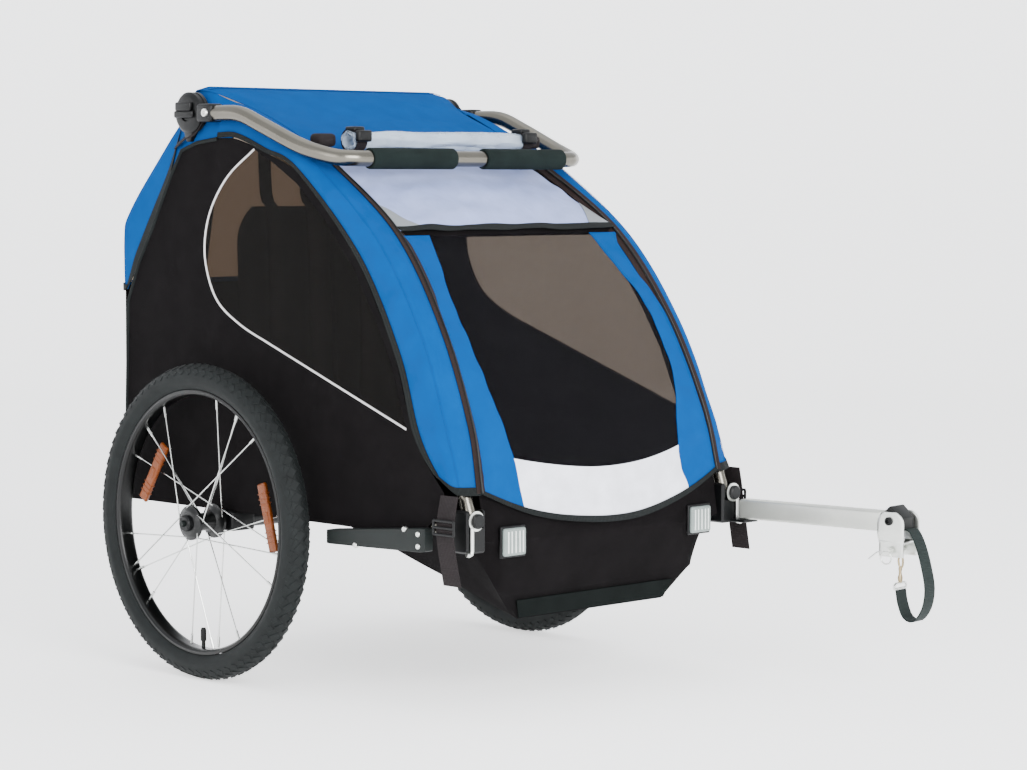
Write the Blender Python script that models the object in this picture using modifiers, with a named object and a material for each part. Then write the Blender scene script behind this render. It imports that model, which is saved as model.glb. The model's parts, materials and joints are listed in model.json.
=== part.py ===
"""A two-seat child bicycle trailer: a fabric cabin on a folding aluminium frame.

Forward is -Y, +X is the trailer's left, and +Z is up. Every piece is placed from the point on the
ground under the axle, and the datum empty then moves that point so that the trailer's box is centred.
"""

import math

import bmesh
import bpy
from mathutils import Matrix, Vector

# Driving dimensions, in metres
WHEEL_RADIUS = 0.248
TRACK = 0.703
TYRE_SECTION = 0.0225
RIM_HOLE_RADIUS = 0.1996
SPOKES_PER_FLANGE = 10
FRAME_TUBE = 0.0115
RAIL_TUBE = 0.0125
RAIL_X = 0.288
RAIL_Z = 0.2773
FRONT_Y = -0.532
REAR_Y = 0.262
CLOTH = 0.002
GAP = 0.0003

# Joint axes, seen from the side as (y, z)
HOOP_PIVOT = (FRONT_Y, 0.290)
UPRIGHT_PIVOT = (0.240, 0.292)
HUB_CENTRE = (0.115, 0.890)
COVER_HINGE = (-0.3335, 0.7005)

# The tow arm's own frame: its pivot pin, and how far it points outwards
TOW_PIVOT = (0.292, -0.562, 0.264)
TOW_SPLAY = math.radians(6.3)
TOW_LENGTH = 0.262
YOKE_BOLT = (0.0, -0.284, 0.003)
YOKE_FRONT = 0.310

# The datum: half way between the safety strap's front and the roof's rear corner
FRONT_REACH = 0.906
REAR_REACH = 0.301
AXLE_Y = (FRONT_REACH - REAR_REACH) / 2

SIDES = {"right": -1, "left": 1}


def clear_scene():
    """Removes what the file opened with."""
    for obj in list(bpy.data.objects):
        bpy.data.objects.remove(obj)


def collection(name):
    """A new collection in the scene."""
    made = bpy.data.collections.new(name)
    bpy.context.scene.collection.children.link(made)
    return made


def finish_of(name, colour, roughness, metallic=0.0):
    """A plain material with one colour, given as sRGB hex."""
    made = bpy.data.materials.new(name)
    made.use_nodes = True
    shader = made.node_tree.nodes["Principled BSDF"]
    channels = [int(colour[i : i + 2], 16) / 255 for i in (0, 2, 4)]
    linear = [c / 12.92 if c < 0.04045 else ((c + 0.055) / 1.055) ** 2.4 for c in channels]
    shader.inputs["Base Color"].default_value = (*linear, 1.0)
    shader.inputs["Roughness"].default_value = roughness
    shader.inputs["Metallic"].default_value = metallic
    return made


clear_scene()
PARTS = collection("child_bicycle_trailer")
CUTTERS = collection("cutters")

BLUE_CLOTH = finish_of("blue_cloth", "2070C4", 0.75)
BLACK_CLOTH = finish_of("black_cloth", "262324", 0.85)
WHITE_CLOTH = finish_of("white_cloth", "D5D8E6", 0.6)
WEBBING = finish_of("webbing", "33302F", 0.8)
CLEAR_SHEET = finish_of("clear_sheet", "C9D6E4", 0.2)
ALUMINIUM = finish_of("aluminium", "B7B6AF", 0.35, 1.0)
BRIGHT_STEEL = finish_of("bright_steel", "C9CBC8", 0.25, 1.0)
BLACK_PLASTIC = finish_of("black_plastic", "1C1D1F", 0.45)
GRIP_FOAM = finish_of("grip_foam", "2B302E", 0.9)
RUBBER = finish_of("rubber", "26292A", 0.8)
BLACK_RIM = finish_of("black_rim", "1B1C1E", 0.35, 0.6)
AMBER_LENS = finish_of("amber_lens", "D88A1A", 0.2)
CLEAR_LENS = finish_of("clear_lens", "C9D0CC", 0.2)


def empty(name, place=(0, 0, 0), parent=None, turn=0.0):
    """An empty that pieces are parented to; turn is about Z."""
    made = bpy.data.objects.new(name, None)
    PARTS.objects.link(made)
    made.location = place
    made.rotation_euler = (0, 0, turn)
    made.parent = parent
    return made


DATUM = empty("datum", (0, AXLE_Y, 0))
TOW_FRAME = empty("tow_frame", TOW_PIVOT, DATUM, TOW_SPLAY)


def add(name, data, finish, parent=DATUM, place=(0, 0, 0), turn=(0, 0, 0)):
    """Puts a mesh or curve in the scene as one named piece."""
    made = bpy.data.objects.new(name, data)
    PARTS.objects.link(made)
    made.location = place
    made.rotation_euler = turn
    made.parent = parent
    if not data.materials:
        data.materials.append(finish)
    return made


def mesh_from(bm, name):
    """Turns a bmesh into mesh data with its faces pointing out."""
    bmesh.ops.recalc_face_normals(bm, faces=bm.faces)
    mesh = bpy.data.meshes.new(name)
    bm.to_mesh(mesh)
    bm.free()
    return mesh


def round_edges(obj, width, segments=1):
    """Rounds a piece's sharp edges."""
    bevel = obj.modifiers.new("round_edges", "BEVEL")
    bevel.width = width
    bevel.segments = segments
    bevel.limit_method = "ANGLE"


def box(name, low, high, finish, parent=DATUM, rounding=0.0):
    """A block between two corners."""
    size = [h - l for l, h in zip(low, high)]
    middle = [(h + l) / 2 for l, h in zip(low, high)]
    bm = bmesh.new()
    bmesh.ops.create_cube(bm, size=1)
    bmesh.ops.scale(bm, verts=bm.verts, vec=size)
    obj = add(name, mesh_from(bm, name), finish, parent, middle)
    if rounding:
        round_edges(obj, rounding)
    return obj


def cylinder(name, ends, radius, finish, parent=DATUM, sides=16):
    """A round bar between two points that lie along X."""
    length = ends[1][0] - ends[0][0]
    middle = (Vector(ends[0]) + Vector(ends[1])) / 2
    bm = bmesh.new()
    bmesh.ops.create_cone(
        bm, cap_ends=True, segments=sides, radius1=radius, radius2=radius, depth=length
    )
    bmesh.ops.rotate(bm, verts=bm.verts, matrix=Matrix.Rotation(math.pi / 2, 3, "Y"))
    return add(name, mesh_from(bm, name), finish, parent, middle)


def as_cutter(obj):
    """Keeps an object out of the model: it only cuts or joins."""
    PARTS.objects.unlink(obj)
    CUTTERS.objects.link(obj)
    obj.hide_render = True
    obj.display_type = "WIRE"
    return obj


def boolean(obj, operand, operation):
    """Cuts an operand away from a piece, or joins it on."""
    made = obj.modifiers.new(operation.lower(), "BOOLEAN")
    made.object = as_cutter(operand)
    made.operation = operation


def on_curve(points, t):
    """The point at t, from 0 to 1, on a smooth curve through the points."""
    points = [Vector(p) for p in points]
    span = t * (len(points) - 1)
    i = min(int(span), len(points) - 2)
    s = span - i
    a, b = points[i], points[i + 1]
    before = points[i - 1] if i else a * 2 - b
    after = points[i + 2] if i + 2 < len(points) else b * 2 - a
    leave, arrive = (b - before) / 2, (after - a) / 2
    return (
        a * (2 * s**3 - 3 * s**2 + 1)
        + leave * (s**3 - 2 * s**2 + s)
        + b * (3 * s**2 - 2 * s**3)
        + arrive * (s**3 - s**2)
    )


def route(points, steps):
    """Points along the smooth curve, so many steps to each stretch."""
    count = steps * (len(points) - 1)
    return [on_curve(points, i / count) for i in range(count + 1)]


def rounded(points, radius, steps=4):
    """A bent tube's route: straight runs with an arc of the given radius at each corner."""
    points = [Vector(p) for p in points]
    path = [points[0]]
    for before, corner, after in zip(points, points[1:], points[2:]):
        back, ahead = (before - corner).normalized(), (after - corner).normalized()
        half = back.angle(ahead) / 2
        start, end = corner + back * radius / math.tan(half), corner + ahead * radius / math.tan(half)
        centre = corner + (back + ahead).normalized() * radius / math.sin(half)
        for i in range(steps + 1):
            spoke = (start - centre).slerp(end - centre, i / steps)
            path.append(centre + spoke.normalized() * radius)
    return path + [points[-1]]


def tube(name, path, radius, finish, parent=DATUM, detail=2):
    """A round tube or bar along a path."""
    curve = bpy.data.curves.new(name, "CURVE")
    curve.dimensions = "3D"
    curve.bevel_depth = radius
    curve.bevel_resolution = detail
    curve.use_fill_caps = True
    spline = curve.splines.new("POLY")
    spline.points.add(len(path) - 1)
    for point, place in zip(spline.points, path):
        point.co = (*place, 1)
    return add(name, curve, finish, parent)


def turned(name, profile, steps, finish, place, facing, parent=DATUM):
    """A shape turned about X from (radius, along) pairs; facing is 1 or -1 for which way it points."""
    bm = bmesh.new()
    ring = [bm.verts.new((radius, 0, along)) for radius, along in profile]
    for a, b in zip(ring, ring[1:] + ring[:1]):
        bm.edges.new((a, b))
    mesh = bpy.data.meshes.new(name)
    bm.to_mesh(mesh)
    bm.free()
    obj = add(name, mesh, finish, parent, place, (0, facing * math.pi / 2, 0))
    screw = obj.modifiers.new("turn", "SCREW")
    screw.steps = steps
    screw.render_steps = steps
    screw.use_merge_vertices = True
    screw.merge_threshold = 0.00001
    return obj


def sheet(name, across, along, place, finish, thickness=CLOTH, parent=DATUM):
    """A cloth panel: a grid shaped by place(u, v), with u and v from 0 to 1, then given a thickness."""
    bm = bmesh.new()
    bmesh.ops.create_grid(bm, x_segments=across, y_segments=along, size=0.5)
    for vert in bm.verts:
        vert.co = place(vert.co.x + 0.5, vert.co.y + 0.5)
    mesh = bpy.data.meshes.new(name)
    bm.to_mesh(mesh)
    bm.free()
    obj = add(name, mesh, finish, parent)
    solidify = obj.modifiers.new("thickness", "SOLIDIFY")
    solidify.thickness = thickness
    solidify.offset = 0
    return obj


def body_half_width(z):
    """How far out the cabin's sides are at a height: they lean in a little towards the top."""
    return 0.302 - 0.045 * (z - 0.300)


# Chassis


def make_rails():
    """The base frame's tubes: two side rails, the front and rear cross tubes and the axle beam."""
    inner = RAIL_X - RAIL_TUBE - GAP
    for side, sign in SIDES.items():
        ends = [(sign * RAIL_X, FRONT_Y + 0.0273, RAIL_Z), (sign * RAIL_X, REAR_Y + 0.010, RAIL_Z)]
        tube(f"side_rail_{side}", ends, RAIL_TUBE, ALUMINIUM)
    cross = 0.2577
    tube("front_cross_tube", [(-cross, -0.518, 0.273), (cross, -0.518, 0.273)], FRAME_TUBE, ALUMINIUM)
    tube("rear_cross_tube", [(-inner, REAR_Y, RAIL_Z), (inner, REAR_Y, RAIL_Z)], FRAME_TUBE, ALUMINIUM)
    radius = RAIL_Z - RAIL_TUBE - GAP - WHEEL_RADIUS
    end = 0.318
    beam = cylinder(
        "axle_beam", [(-end, 0, WHEEL_RADIUS), (end, 0, WHEEL_RADIUS)], radius, BLACK_PLASTIC
    )
    for side, sign in SIDES.items():
        inside, outside = sorted((sign * 0.288, sign * 0.330))
        bore = cylinder(
            f"axle_bore_{side}",
            [(inside, 0, WHEEL_RADIUS), (outside, 0, WHEEL_RADIUS)],
            0.0068,
            BLACK_PLASTIC,
        )
        boolean(beam, bore, "DIFFERENCE")


def make_corner(side, sign):
    """A front corner: the bracket with two ears that the hoop pivots between."""
    low, high = sorted((sign * 0.2580, sign * 0.2955))
    bracket = box(
        f"corner_bracket_{side}", (low, -0.547, 0.2415), (high, -0.505, 0.3045), BLACK_PLASTIC, rounding=0.003
    )
    slot_low, slot_high = sorted((sign * 0.2637, sign * 0.2903))
    slot = box(f"corner_slot_{side}", (slot_low, -0.560, 0.2775), (slot_high, -0.490, 0.320), BLACK_PLASTIC)
    boolean(bracket, slot, "DIFFERENCE")


def make_wheel_guard(side, sign):
    """The beam outside the rail that keeps the wheel off what the trailer passes, taller at its front."""
    inner, outer = sign * 0.3035, sign * 0.3225
    bm = bmesh.new()
    bmesh.ops.create_cube(bm, size=1)
    for vert in bm.verts:
        front = vert.co.y < 0
        top = vert.co.z > 0
        vert.co.x = outer if vert.co.x * sign > 0 else inner
        vert.co.y = -0.484 if front else -0.264
        vert.co.z = (0.277 if front else 0.257) if top else (0.241 if front else 0.235)
    obj = add(f"wheel_guard_{side}", mesh_from(bm, "guard"), BLACK_PLASTIC)
    round_edges(obj, 0.003)


# The floor's stations from the skirt's top edge to the rear: rim (x, y, z) and bed corner (x, y, z)
FLOOR = [
    ((0.2545, -0.5365, 0.300), (0.215, -0.5385, 0.300)),
    ((0.2530, -0.5380, 0.2575), (0.213, -0.5415, 0.2530)),
    ((0.2545, -0.5050, 0.2575), (0.208, -0.5200, 0.1750)),
    ((0.2550, -0.4400, 0.2575), (0.162, -0.5070, 0.1315)),
    ((0.2560, -0.3600, 0.2590), (0.200, -0.4000, 0.1850)),
    ((0.2580, -0.2800, 0.2640), (0.243, -0.2900, 0.2400)),
    ((0.2600, -0.1800, 0.2720), (0.252, -0.1800, 0.2680)),
    ((0.2600, 0.2480, 0.2720), (0.252, 0.2480, 0.2680)),
]


def make_floor():
    """The fabric floor: the skirt at the front, the foot well behind it, and the flat floor."""
    columns = 6

    def place(u, v):
        station = FLOOR[min(round(v * (len(FLOOR) - 1)), len(FLOOR) - 1)]
        rim, bed = Vector(station[0]), Vector(station[1])
        across = 2 * u - 1
        edge = 1 - 2 / columns
        share = max(0.0, (abs(across) - edge) / (1 - edge))
        point = bed.lerp(rim, share)
        if abs(across) < edge:
            point.x = bed.x * abs(across) / edge
        point.x = math.copysign(point.x, across)
        return point

    sheet("floor_tub", columns, len(FLOOR) - 1, place, BLACK_CLOTH, 0.003)


def make_scuff_guard():
    """The rubbery patch along the skirt's lower edge, which the nose rests on."""

    def place(u, v):
        half = 0.160 + 0.012 * v
        return Vector(((2 * u - 1) * half, -0.5108 - 0.0086 * v, 0.1320 + 0.028 * v))

    sheet("scuff_guard", 4, 2, place, RUBBER, CLOTH)


def make_front_reflector(side, sign):
    """A clear reflector sewn to the skirt."""
    low, high = sorted((sign * 0.174, sign * 0.232))
    box(f"front_reflector_{side}", (low, -0.5525, 0.231), (high, -0.5440, 0.275), CLEAR_LENS, rounding=0.003)


def make_seat():
    """The bench, and the back that hangs from the rear frame's top."""
    box("seat_base", (-0.205, -0.160, 0.300), (0.205, 0.100, 0.335), BLACK_CLOTH, rounding=0.010)

    def place(u, v):
        return Vector(((2 * u - 1) * 0.200, 0.092 + 0.010 * v, 0.345 + 0.430 * v))

    sheet("seat_back", 4, 3, place, BLACK_CLOTH, 0.018)


def make_corner_strap(side, sign):
    """The webbing that pulls the cover's front corner down to its buckle, with the tail that hangs."""

    def place(u, v):
        y = -0.538 + 0.036 * u
        out = [(0.3065, 0.322), (0.3140, 0.290), (0.3170, 0.255), (0.3150, 0.196)]
        x, z, _ = on_curve([(a, b, 0) for a, b in out], v)
        return Vector((sign * x, y, z))

    sheet(f"corner_strap_{side}", 1, 6, place, WEBBING, CLOTH)


# Wheels


def tyre_profile():
    """A hollow tyre's section, open at the beads, as (radius, along)."""
    centre = WHEEL_RADIUS - TYRE_SECTION
    bead = math.radians(140)
    outer = [bead * (1 - 2 * i / 10) for i in range(11)]
    inner = [bead * (-1 + 2 * i / 8) for i in range(9)]
    arcs = [(TYRE_SECTION, outer), (TYRE_SECTION - 0.0032, inner)]
    return [(centre + r * math.cos(a), r * math.sin(a)) for r, angles in arcs for a in angles]


def rim_profile():
    """A shallow well rim."""
    hole = RIM_HOLE_RADIUS
    return [
        (hole + 0.0078, 0.0150),
        (hole + 0.0078, 0.0130),
        (hole + 0.0032, 0.0080),
        (hole + 0.0032, -0.0080),
        (hole + 0.0078, -0.0130),
        (hole + 0.0078, -0.0150),
        (hole, -0.0100),
        (hole, 0.0100),
    ]


HUB_PROFILE = [
    (0.0115, 0.0295),
    (0.0115, 0.0262),
    (0.0270, 0.0255),
    (0.0270, 0.0205),
    (0.0140, 0.0190),
    (0.0140, -0.0190),
    (0.0270, -0.0205),
    (0.0270, -0.0255),
    (0.0115, -0.0262),
    (0.0115, -0.0295),
    (0.0068, -0.0295),
    (0.0068, 0.0295),
]


def spoke_ends():
    """Each spoke's two ends in the wheel's own frame: Z is the axle."""
    for flange in (-1, 1):
        for i in range(SPOKES_PER_FLANGE):
            lean = 1 if i % 2 else -1
            start = math.tau * (i + 0.5 * (flange > 0)) / SPOKES_PER_FLANGE
            end = start + lean * math.radians(62)
            along = flange * (0.0230 + 0.0024 * lean)
            hub = Vector((0.0240 * math.cos(start), 0.0240 * math.sin(start), along))
            rim = Vector((0.1984 * math.cos(end), 0.1984 * math.sin(end), flange * 0.0022))
            yield hub, rim


def make_spoked_hub():
    """The hub shell joined with its spokes, as one mesh that both wheels share."""
    bm = bmesh.new()
    for hub, rim in spoke_ends():
        made = bmesh.ops.create_cone(
            bm, cap_ends=True, segments=5, radius1=0.0010, radius2=0.0010, depth=(rim - hub).length
        )
        aim = (rim - hub).to_track_quat("Z", "Y").to_matrix().to_4x4()
        bmesh.ops.transform(
            bm, verts=made["verts"], matrix=Matrix.Translation((hub + rim) / 2) @ aim
        )
    spokes = add("spokes_all", mesh_from(bm, "spokes"), BRIGHT_STEEL, parent=None)
    hub = turned("hub_shell", HUB_PROFILE, 20, BLACK_RIM, (0, 0, 0), 0, parent=None)
    boolean(hub, spokes, "UNION")
    bpy.context.view_layer.update()
    evaluated = hub.evaluated_get(bpy.context.evaluated_depsgraph_get())
    mesh = bpy.data.meshes.new_from_object(evaluated)
    mesh.name = "spoked_hub"
    bpy.data.objects.remove(hub)
    return mesh


def make_wheel(side, sign, spoked_hub):
    """A wheel on its axle pin; the pin stays with the frame."""
    centre = (sign * TRACK / 2, 0, WHEEL_RADIUS)
    wheel = empty(f"wheel_axis_{side}", centre, DATUM)
    turned(f"tyre_{side}", tyre_profile(), 44, RUBBER, (0, 0, 0), sign, wheel)
    turned(f"rim_{side}", rim_profile(), 44, BLACK_RIM, (0, 0, 0), sign, wheel)
    add(f"spoked_hub_{side}", spoked_hub, BLACK_RIM, wheel, turn=(0, sign * math.pi / 2, 0))
    for place, angle, radius in (("upper", 29, 0.142), ("front", 173, 0.163)):
        reflector = box(
            f"wheel_reflector_{place}_{side}",
            (-0.0025, radius - 0.0135, -0.052),
            (0.0025, radius + 0.0135, 0.052),
            AMBER_LENS,
            wheel,
            0.002,
        )
        spin = Matrix.Rotation(math.radians(angle), 4, "X")
        reflector.location = spin @ reflector.location
        reflector.rotation_euler = spin.to_euler()
    tip = 0.0380
    pin = [(0.0062, tip - 0.004), (0.0062, -0.0600), (0.0012, -0.0600), (0.0012, 0.0200), (0.0052, 0.0215), (0.0052, tip)]
    cap = [(0.0110, tip), (0.0130, tip - 0.003), (0.0130, 0.0299), (0.0062, 0.0299)]
    turned(f"axle_pin_{side}", cap + pin[1:], 16, BLACK_PLASTIC, centre, sign)
    button_profile = [(0.0046, 0.0430), (0.0046, 0.0262), (0.0, 0.0262), (0.0, 0.0430)]
    ends = sorted([(sign * (TRACK / 2 + a), 0, WHEEL_RADIUS) for _, a in button_profile[:2]])
    cylinder(f"release_button_{side}", ends, 0.0046, BLACK_PLASTIC)


# Rear frame and canopy frame


def make_rear_frame():
    """The bent tube that stands up from the rear pivots and crosses under the roof's ridge."""
    foot_y, foot_z = UPRIGHT_PIVOT
    x = 0.222
    corners = [(-x, foot_y, foot_z), (-x, 0.118, 0.886), (x, 0.118, 0.886), (x, foot_y, foot_z)]
    tube("rear_upright", rounded(corners, 0.055), FRAME_TUBE, ALUMINIUM)


def make_hoop(side, sign):
    """The side hoop: a bent tube from the front corner's pivot up and back to the hub."""
    through = [
        (0.277, HOOP_PIVOT[0], HOOP_PIVOT[1]),
        (0.277, -0.515, 0.335),
        (0.273, -0.476, 0.425),
        (0.268, -0.410, 0.548),
        (0.262, -0.308, 0.672),
        (0.255, -0.160, 0.780),
        (0.252, -0.030, 0.842),
        (0.252, 0.100, 0.884),
    ]
    path = route([(sign * x, y, z) for x, y, z in through], 3)
    tube(f"side_hoop_{side}", path, FRAME_TUBE, ALUMINIUM)


def make_hub(side, sign):
    """The rear top hub with the release lever on its outer face."""
    y, z = HUB_CENTRE
    profile = [(0.0270, 0.0250), (0.0330, 0.0210), (0.0330, 0.0030), (0.0290, 0.0), (0.0060, 0.0), (0.0060, 0.0250)]
    turned(f"hub_housing_{side}", profile, 20, BLACK_PLASTIC, (sign * 0.2645, y, z), sign)
    low, high = sorted((sign * 0.2900, sign * 0.2975))
    box(f"hub_lever_{side}", (low, y - 0.024, z - 0.008), (high, y + 0.024, z + 0.018), BLACK_PLASTIC, rounding=0.003)


# Canopy cloth. A sleeve's stations from the front hem to the hub: its edge at the zip, the outer corner
# that the hoop fills, and its edge on the side
SLEEVE = [
    ((0.2575, -0.533, 0.3265), (0.3030, -0.536, 0.327), (0.3030, -0.509, 0.331)),
    ((0.2530, -0.508, 0.4250), (0.2985, -0.514, 0.428), (0.2970, -0.440, 0.405)),
    ((0.2460, -0.439, 0.5660), (0.2920, -0.447, 0.573), (0.2915, -0.392, 0.522)),
    ((0.2355, -0.331, 0.7010), (0.2850, -0.336, 0.709), (0.2855, -0.298, 0.666)),
    ((0.2255, -0.172, 0.8050), (0.2740, -0.168, 0.824), (0.2795, -0.150, 0.797)),
    ((0.2270, -0.077, 0.8560), (0.2670, -0.075, 0.870), (0.2780, -0.070, 0.827)),
    ((0.2320, 0.000, 0.8890), (0.2690, 0.000, 0.898), (0.2770, 0.000, 0.850)),
    ((0.2370, 0.046, 0.9040), (0.2700, 0.046, 0.904), (0.2770, 0.048, 0.851)),
]


def make_sleeve(side, sign):
    """The blue strip that wraps the hoop from the zip round to the side."""
    zip_edge, corner, side_edge = zip(*SLEEVE)

    def place(u, v):
        a, b, c = (on_curve(line, v) for line in (zip_edge, corner, side_edge))
        point = a * (1 - u) ** 2 + b * 2 * u * (1 - u) + c * u**2
        return Vector((sign * point.x, point.y, point.z))

    sheet(f"hoop_sleeve_{side}", 5, 3 * (len(SLEEVE) - 1), place, BLUE_CLOTH)


# The roof's stations from the brow over the ridge to the rear hem: the corner that it turns down at, and its edge
ROOF = [
    ((0.196, -0.158, 0.8120), (0.2225, -0.158, 0.8110)),
    ((0.198, -0.075, 0.8600), (0.2235, -0.075, 0.8580)),
    ((0.202, 0.020, 0.8990), (0.2270, 0.020, 0.8960)),
    ((0.236, 0.103, 0.9300), (0.2570, 0.103, 0.9260)),
    ((0.242, 0.134, 0.9220), (0.2560, 0.146, 0.9090)),
    ((0.262, 0.205, 0.8380), (0.2800, 0.172, 0.7870)),
    ((0.274, 0.286, 0.7360), (0.2835, 0.219, 0.7000)),
    ((0.279, 0.300, 0.6900), (0.2860, 0.249, 0.6500)),
    ((0.282, 0.291, 0.6040), (0.2880, 0.276, 0.6040)),
]


def make_roof():
    """The blue roof: over the top and down the back as far as the black panels."""
    corners, edges = zip(*ROOF)
    columns = 8

    def place(u, v):
        corner, edge = on_curve(corners, v), on_curve(edges, v)
        across = 2 * u - 1
        flat = 1 - 2 / columns
        point = corner.lerp(edge, max(0.0, (abs(across) - flat) / (1 - flat)))
        if abs(across) < flat:
            point.x = corner.x * abs(across) / flat
        return Vector((math.copysign(point.x, across), point.y, point.z))

    sheet("roof_cover", columns, 2 * (len(ROOF) - 1), place, BLUE_CLOTH)


def make_rear_panel():
    """The black panel below the roof at the back."""

    def place(u, v):
        half = 0.281 + 0.010 * (1 - v)
        return Vector(((2 * u - 1) * half, 0.271 + 0.018 * v, 0.2935 + 0.3065 * v))

    sheet("rear_panel", 3, 3, place, BLACK_CLOTH)


def make_side_panel(side, sign):
    """The black side wall with its sewn-in window, below the blue arch."""
    arch = [(0.048, 0.8480), (0.0, 0.8470), (-0.070, 0.8260), (-0.150, 0.7955)]
    front = [(-0.296, 0.6640), (-0.389, 0.5210), (-0.437, 0.4040), (-0.504, 0.3280), (-0.502, 0.2920)]
    back = [(0.262, 0.2920), (0.266, 0.4200), (0.270, 0.5850), (0.213, 0.7000), (0.167, 0.7860), (0.139, 0.8300)]
    curve = bpy.data.curves.new(f"side_panel_{side}", "CURVE")
    curve.dimensions = "2D"
    curve.fill_mode = "BOTH"
    curve.extrude = CLOTH / 2
    outline = arch + front + back
    spline = curve.splines.new("POLY")
    spline.points.add(len(outline) - 1)
    for point, (y, z) in zip(spline.points, outline):
        point.co = (y, z - 0.300, 0, 1)
    spline.use_cyclic_u = True
    obj = add(f"side_panel_{side}", curve, BLACK_CLOTH, place=(sign * body_half_width(0.300), 0, 0.300))
    lean = math.atan(0.045)
    obj.rotation_euler = Matrix(((0, -sign * math.sin(lean), math.cos(lean)), (1, 0, 0), (0, math.cos(lean), sign * math.sin(lean)))).to_euler()


def make_brow():
    """The white flap over the top of the front cover, and the rolled clear shield above it."""

    def place(u, v):
        across = 2 * u - 1
        half = 0.2215 + 0.009 * v
        bulge = 0.010 * math.sin(math.pi * v) * (1 - across**2)
        return Vector((across * half, -0.167 - 0.163 * v - bulge * 0.5, 0.8070 - 0.1000 * v + bulge))

    sheet("brow_flap", 6, 4, place, WHITE_CLOTH)
    cylinder("rolled_shield", [(-0.187, -0.168, 0.8440), (0.187, -0.168, 0.8440)], 0.0160, CLEAR_SHEET, sides=12)


# The front cover's stations from the brow to the hem: on its zip, and on the centre line
COVER_ZIP = [(0.2310, -0.3345, 0.6985), (0.2425, -0.439, 0.5660), (0.2495, -0.508, 0.4250), (0.2540, -0.534, 0.3265)]
COVER_MIDDLE = [(0, -0.3300, 0.6985), (0, -0.4520, 0.5560), (0, -0.5300, 0.4100), (0, -0.5530, 0.2700)]


def make_front_cover():
    """The zipped front cover with its mesh window."""

    def place(u, v):
        across = 2 * u - 1
        edge, middle = on_curve(COVER_ZIP, v), on_curve(COVER_MIDDLE, v)
        point = middle.lerp(edge, across**2)
        point.x = edge.x * across
        return point

    sheet("front_cover", 6, 9, place, BLACK_CLOTH)


# Handlebar


def make_handlebar():
    """The handlebar, folded forward over the brow, with its grips and end clamps."""
    side = [(0.283, 0.052, 0.8885), (0.283, -0.014, 0.8860), (0.281, -0.072, 0.8660), (0.274, -0.152, 0.8350)]
    corner = [(0.257, -0.208, 0.8190), (0.236, -0.228, 0.8165), (0.215, -0.234, 0.8160)]
    path = route(side + corner, 3)
    whole = path + [Vector((-p.x, p.y, p.z)) for p in reversed(path)]
    tube("handlebar_tube", whole, 0.0125, ALUMINIUM, detail=3)
    for side_name, sign in SIDES.items():
        section = [(0.0165, 0.0870), (0.0165, -0.0870), (0.01285, -0.0870), (0.01285, 0.0870)]
        turned(f"grip_{side_name}", section, 16, GRIP_FOAM, (sign * 0.1200, -0.234, 0.8160), sign)
        low, high = sorted((sign * 0.2690, sign * 0.2970))
        clamp = box(
            f"handlebar_clamp_{side_name}", (low, 0.0525, 0.8735), (high, 0.0835, 0.9045), BLACK_PLASTIC, rounding=0.003
        )
        y, z = HUB_CENTRE
        ends = sorted([(sign * 0.2600, y, z), (sign * 0.3200, y, z)])
        boolean(clamp, cylinder(f"clamp_cutter_{side_name}", ends, 0.0342, BLACK_PLASTIC, sides=24), "DIFFERENCE")


# Tow arm, modelled in its own frame: -Y runs along the bar


def make_tow_arm():
    """The receiver, the bar and the flexible block at its end."""
    box("tow_receiver", (0.2760, -0.5440 - 0.0330, 0.2430), (0.3085, -0.5475, 0.2475), BLACK_PLASTIC, rounding=0.001)
    box("tow_bar", (-0.0127, -TOW_LENGTH, -0.0155), (0.0127, 0.0020, 0.0155), ALUMINIUM, TOW_FRAME, 0.004)
    bm = bmesh.new()
    bmesh.ops.create_cube(bm, size=1)
    bmesh.ops.subdivide_edges(bm, edges=[e for e in bm.edges if abs((e.verts[0].co - e.verts[1].co).y) > 0.5], cuts=1)
    for vert in bm.verts:
        peak = abs(vert.co.y) < 0.1 and vert.co.z > 0
        vert.co = (vert.co.x * 0.041, -0.2825 + vert.co.y * 0.0395, 0.0260 if peak else (0.0080 if vert.co.z > 0 else -0.0120))
    block = add("flex_block", mesh_from(bm, "flex_block"), RUBBER, TOW_FRAME)
    round_edges(block, 0.0015)


def make_yoke():
    """The hitch yoke that straddles the flexible block, and the pin through its lower ears."""
    y, z = YOKE_BOLT[1], -0.042
    yoke = box("hitch_yoke", (-0.0240, -YOKE_FRONT, -0.0500), (0.0240, -0.2620, 0.0180), BRIGHT_STEEL, TOW_FRAME, 0.006)
    for name, low, high in (("upper", -0.0270, 0.0400), ("lower", -0.0600, -0.0300)):
        gap = box(f"yoke_gap_{name}", (-0.0210, -0.3300, low), (0.0210, -0.2400, high), BRIGHT_STEEL, TOW_FRAME)
        boolean(yoke, gap, "DIFFERENCE")
    boolean(yoke, cylinder("yoke_bore", [(-0.04, y, z), (0.04, y, z)], 0.0046, BRIGHT_STEEL, TOW_FRAME), "DIFFERENCE")
    cylinder("hitch_pin", [(-0.0330, y, z), (0.0330, y, z)], 0.0040, BRIGHT_STEEL, TOW_FRAME, 12)


# The safety strap's loop in the tow arm's frame, from its sewn end between the yoke's ears to its ring
STRAP = [
    (0, -0.3055, -0.0080),
    (0, -0.3150, -0.0120),
    (0, -0.3270, -0.0340),
    (0, -0.3370, -0.0660),
    (0, -0.3430, -0.0980),
    (0, -0.3380, -0.1280),
    (0, -0.3220, -0.1490),
    (0, -0.3040, -0.1450),
    (0, -0.2940, -0.1240),
    (0, -0.2900, -0.1030),
]


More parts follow.
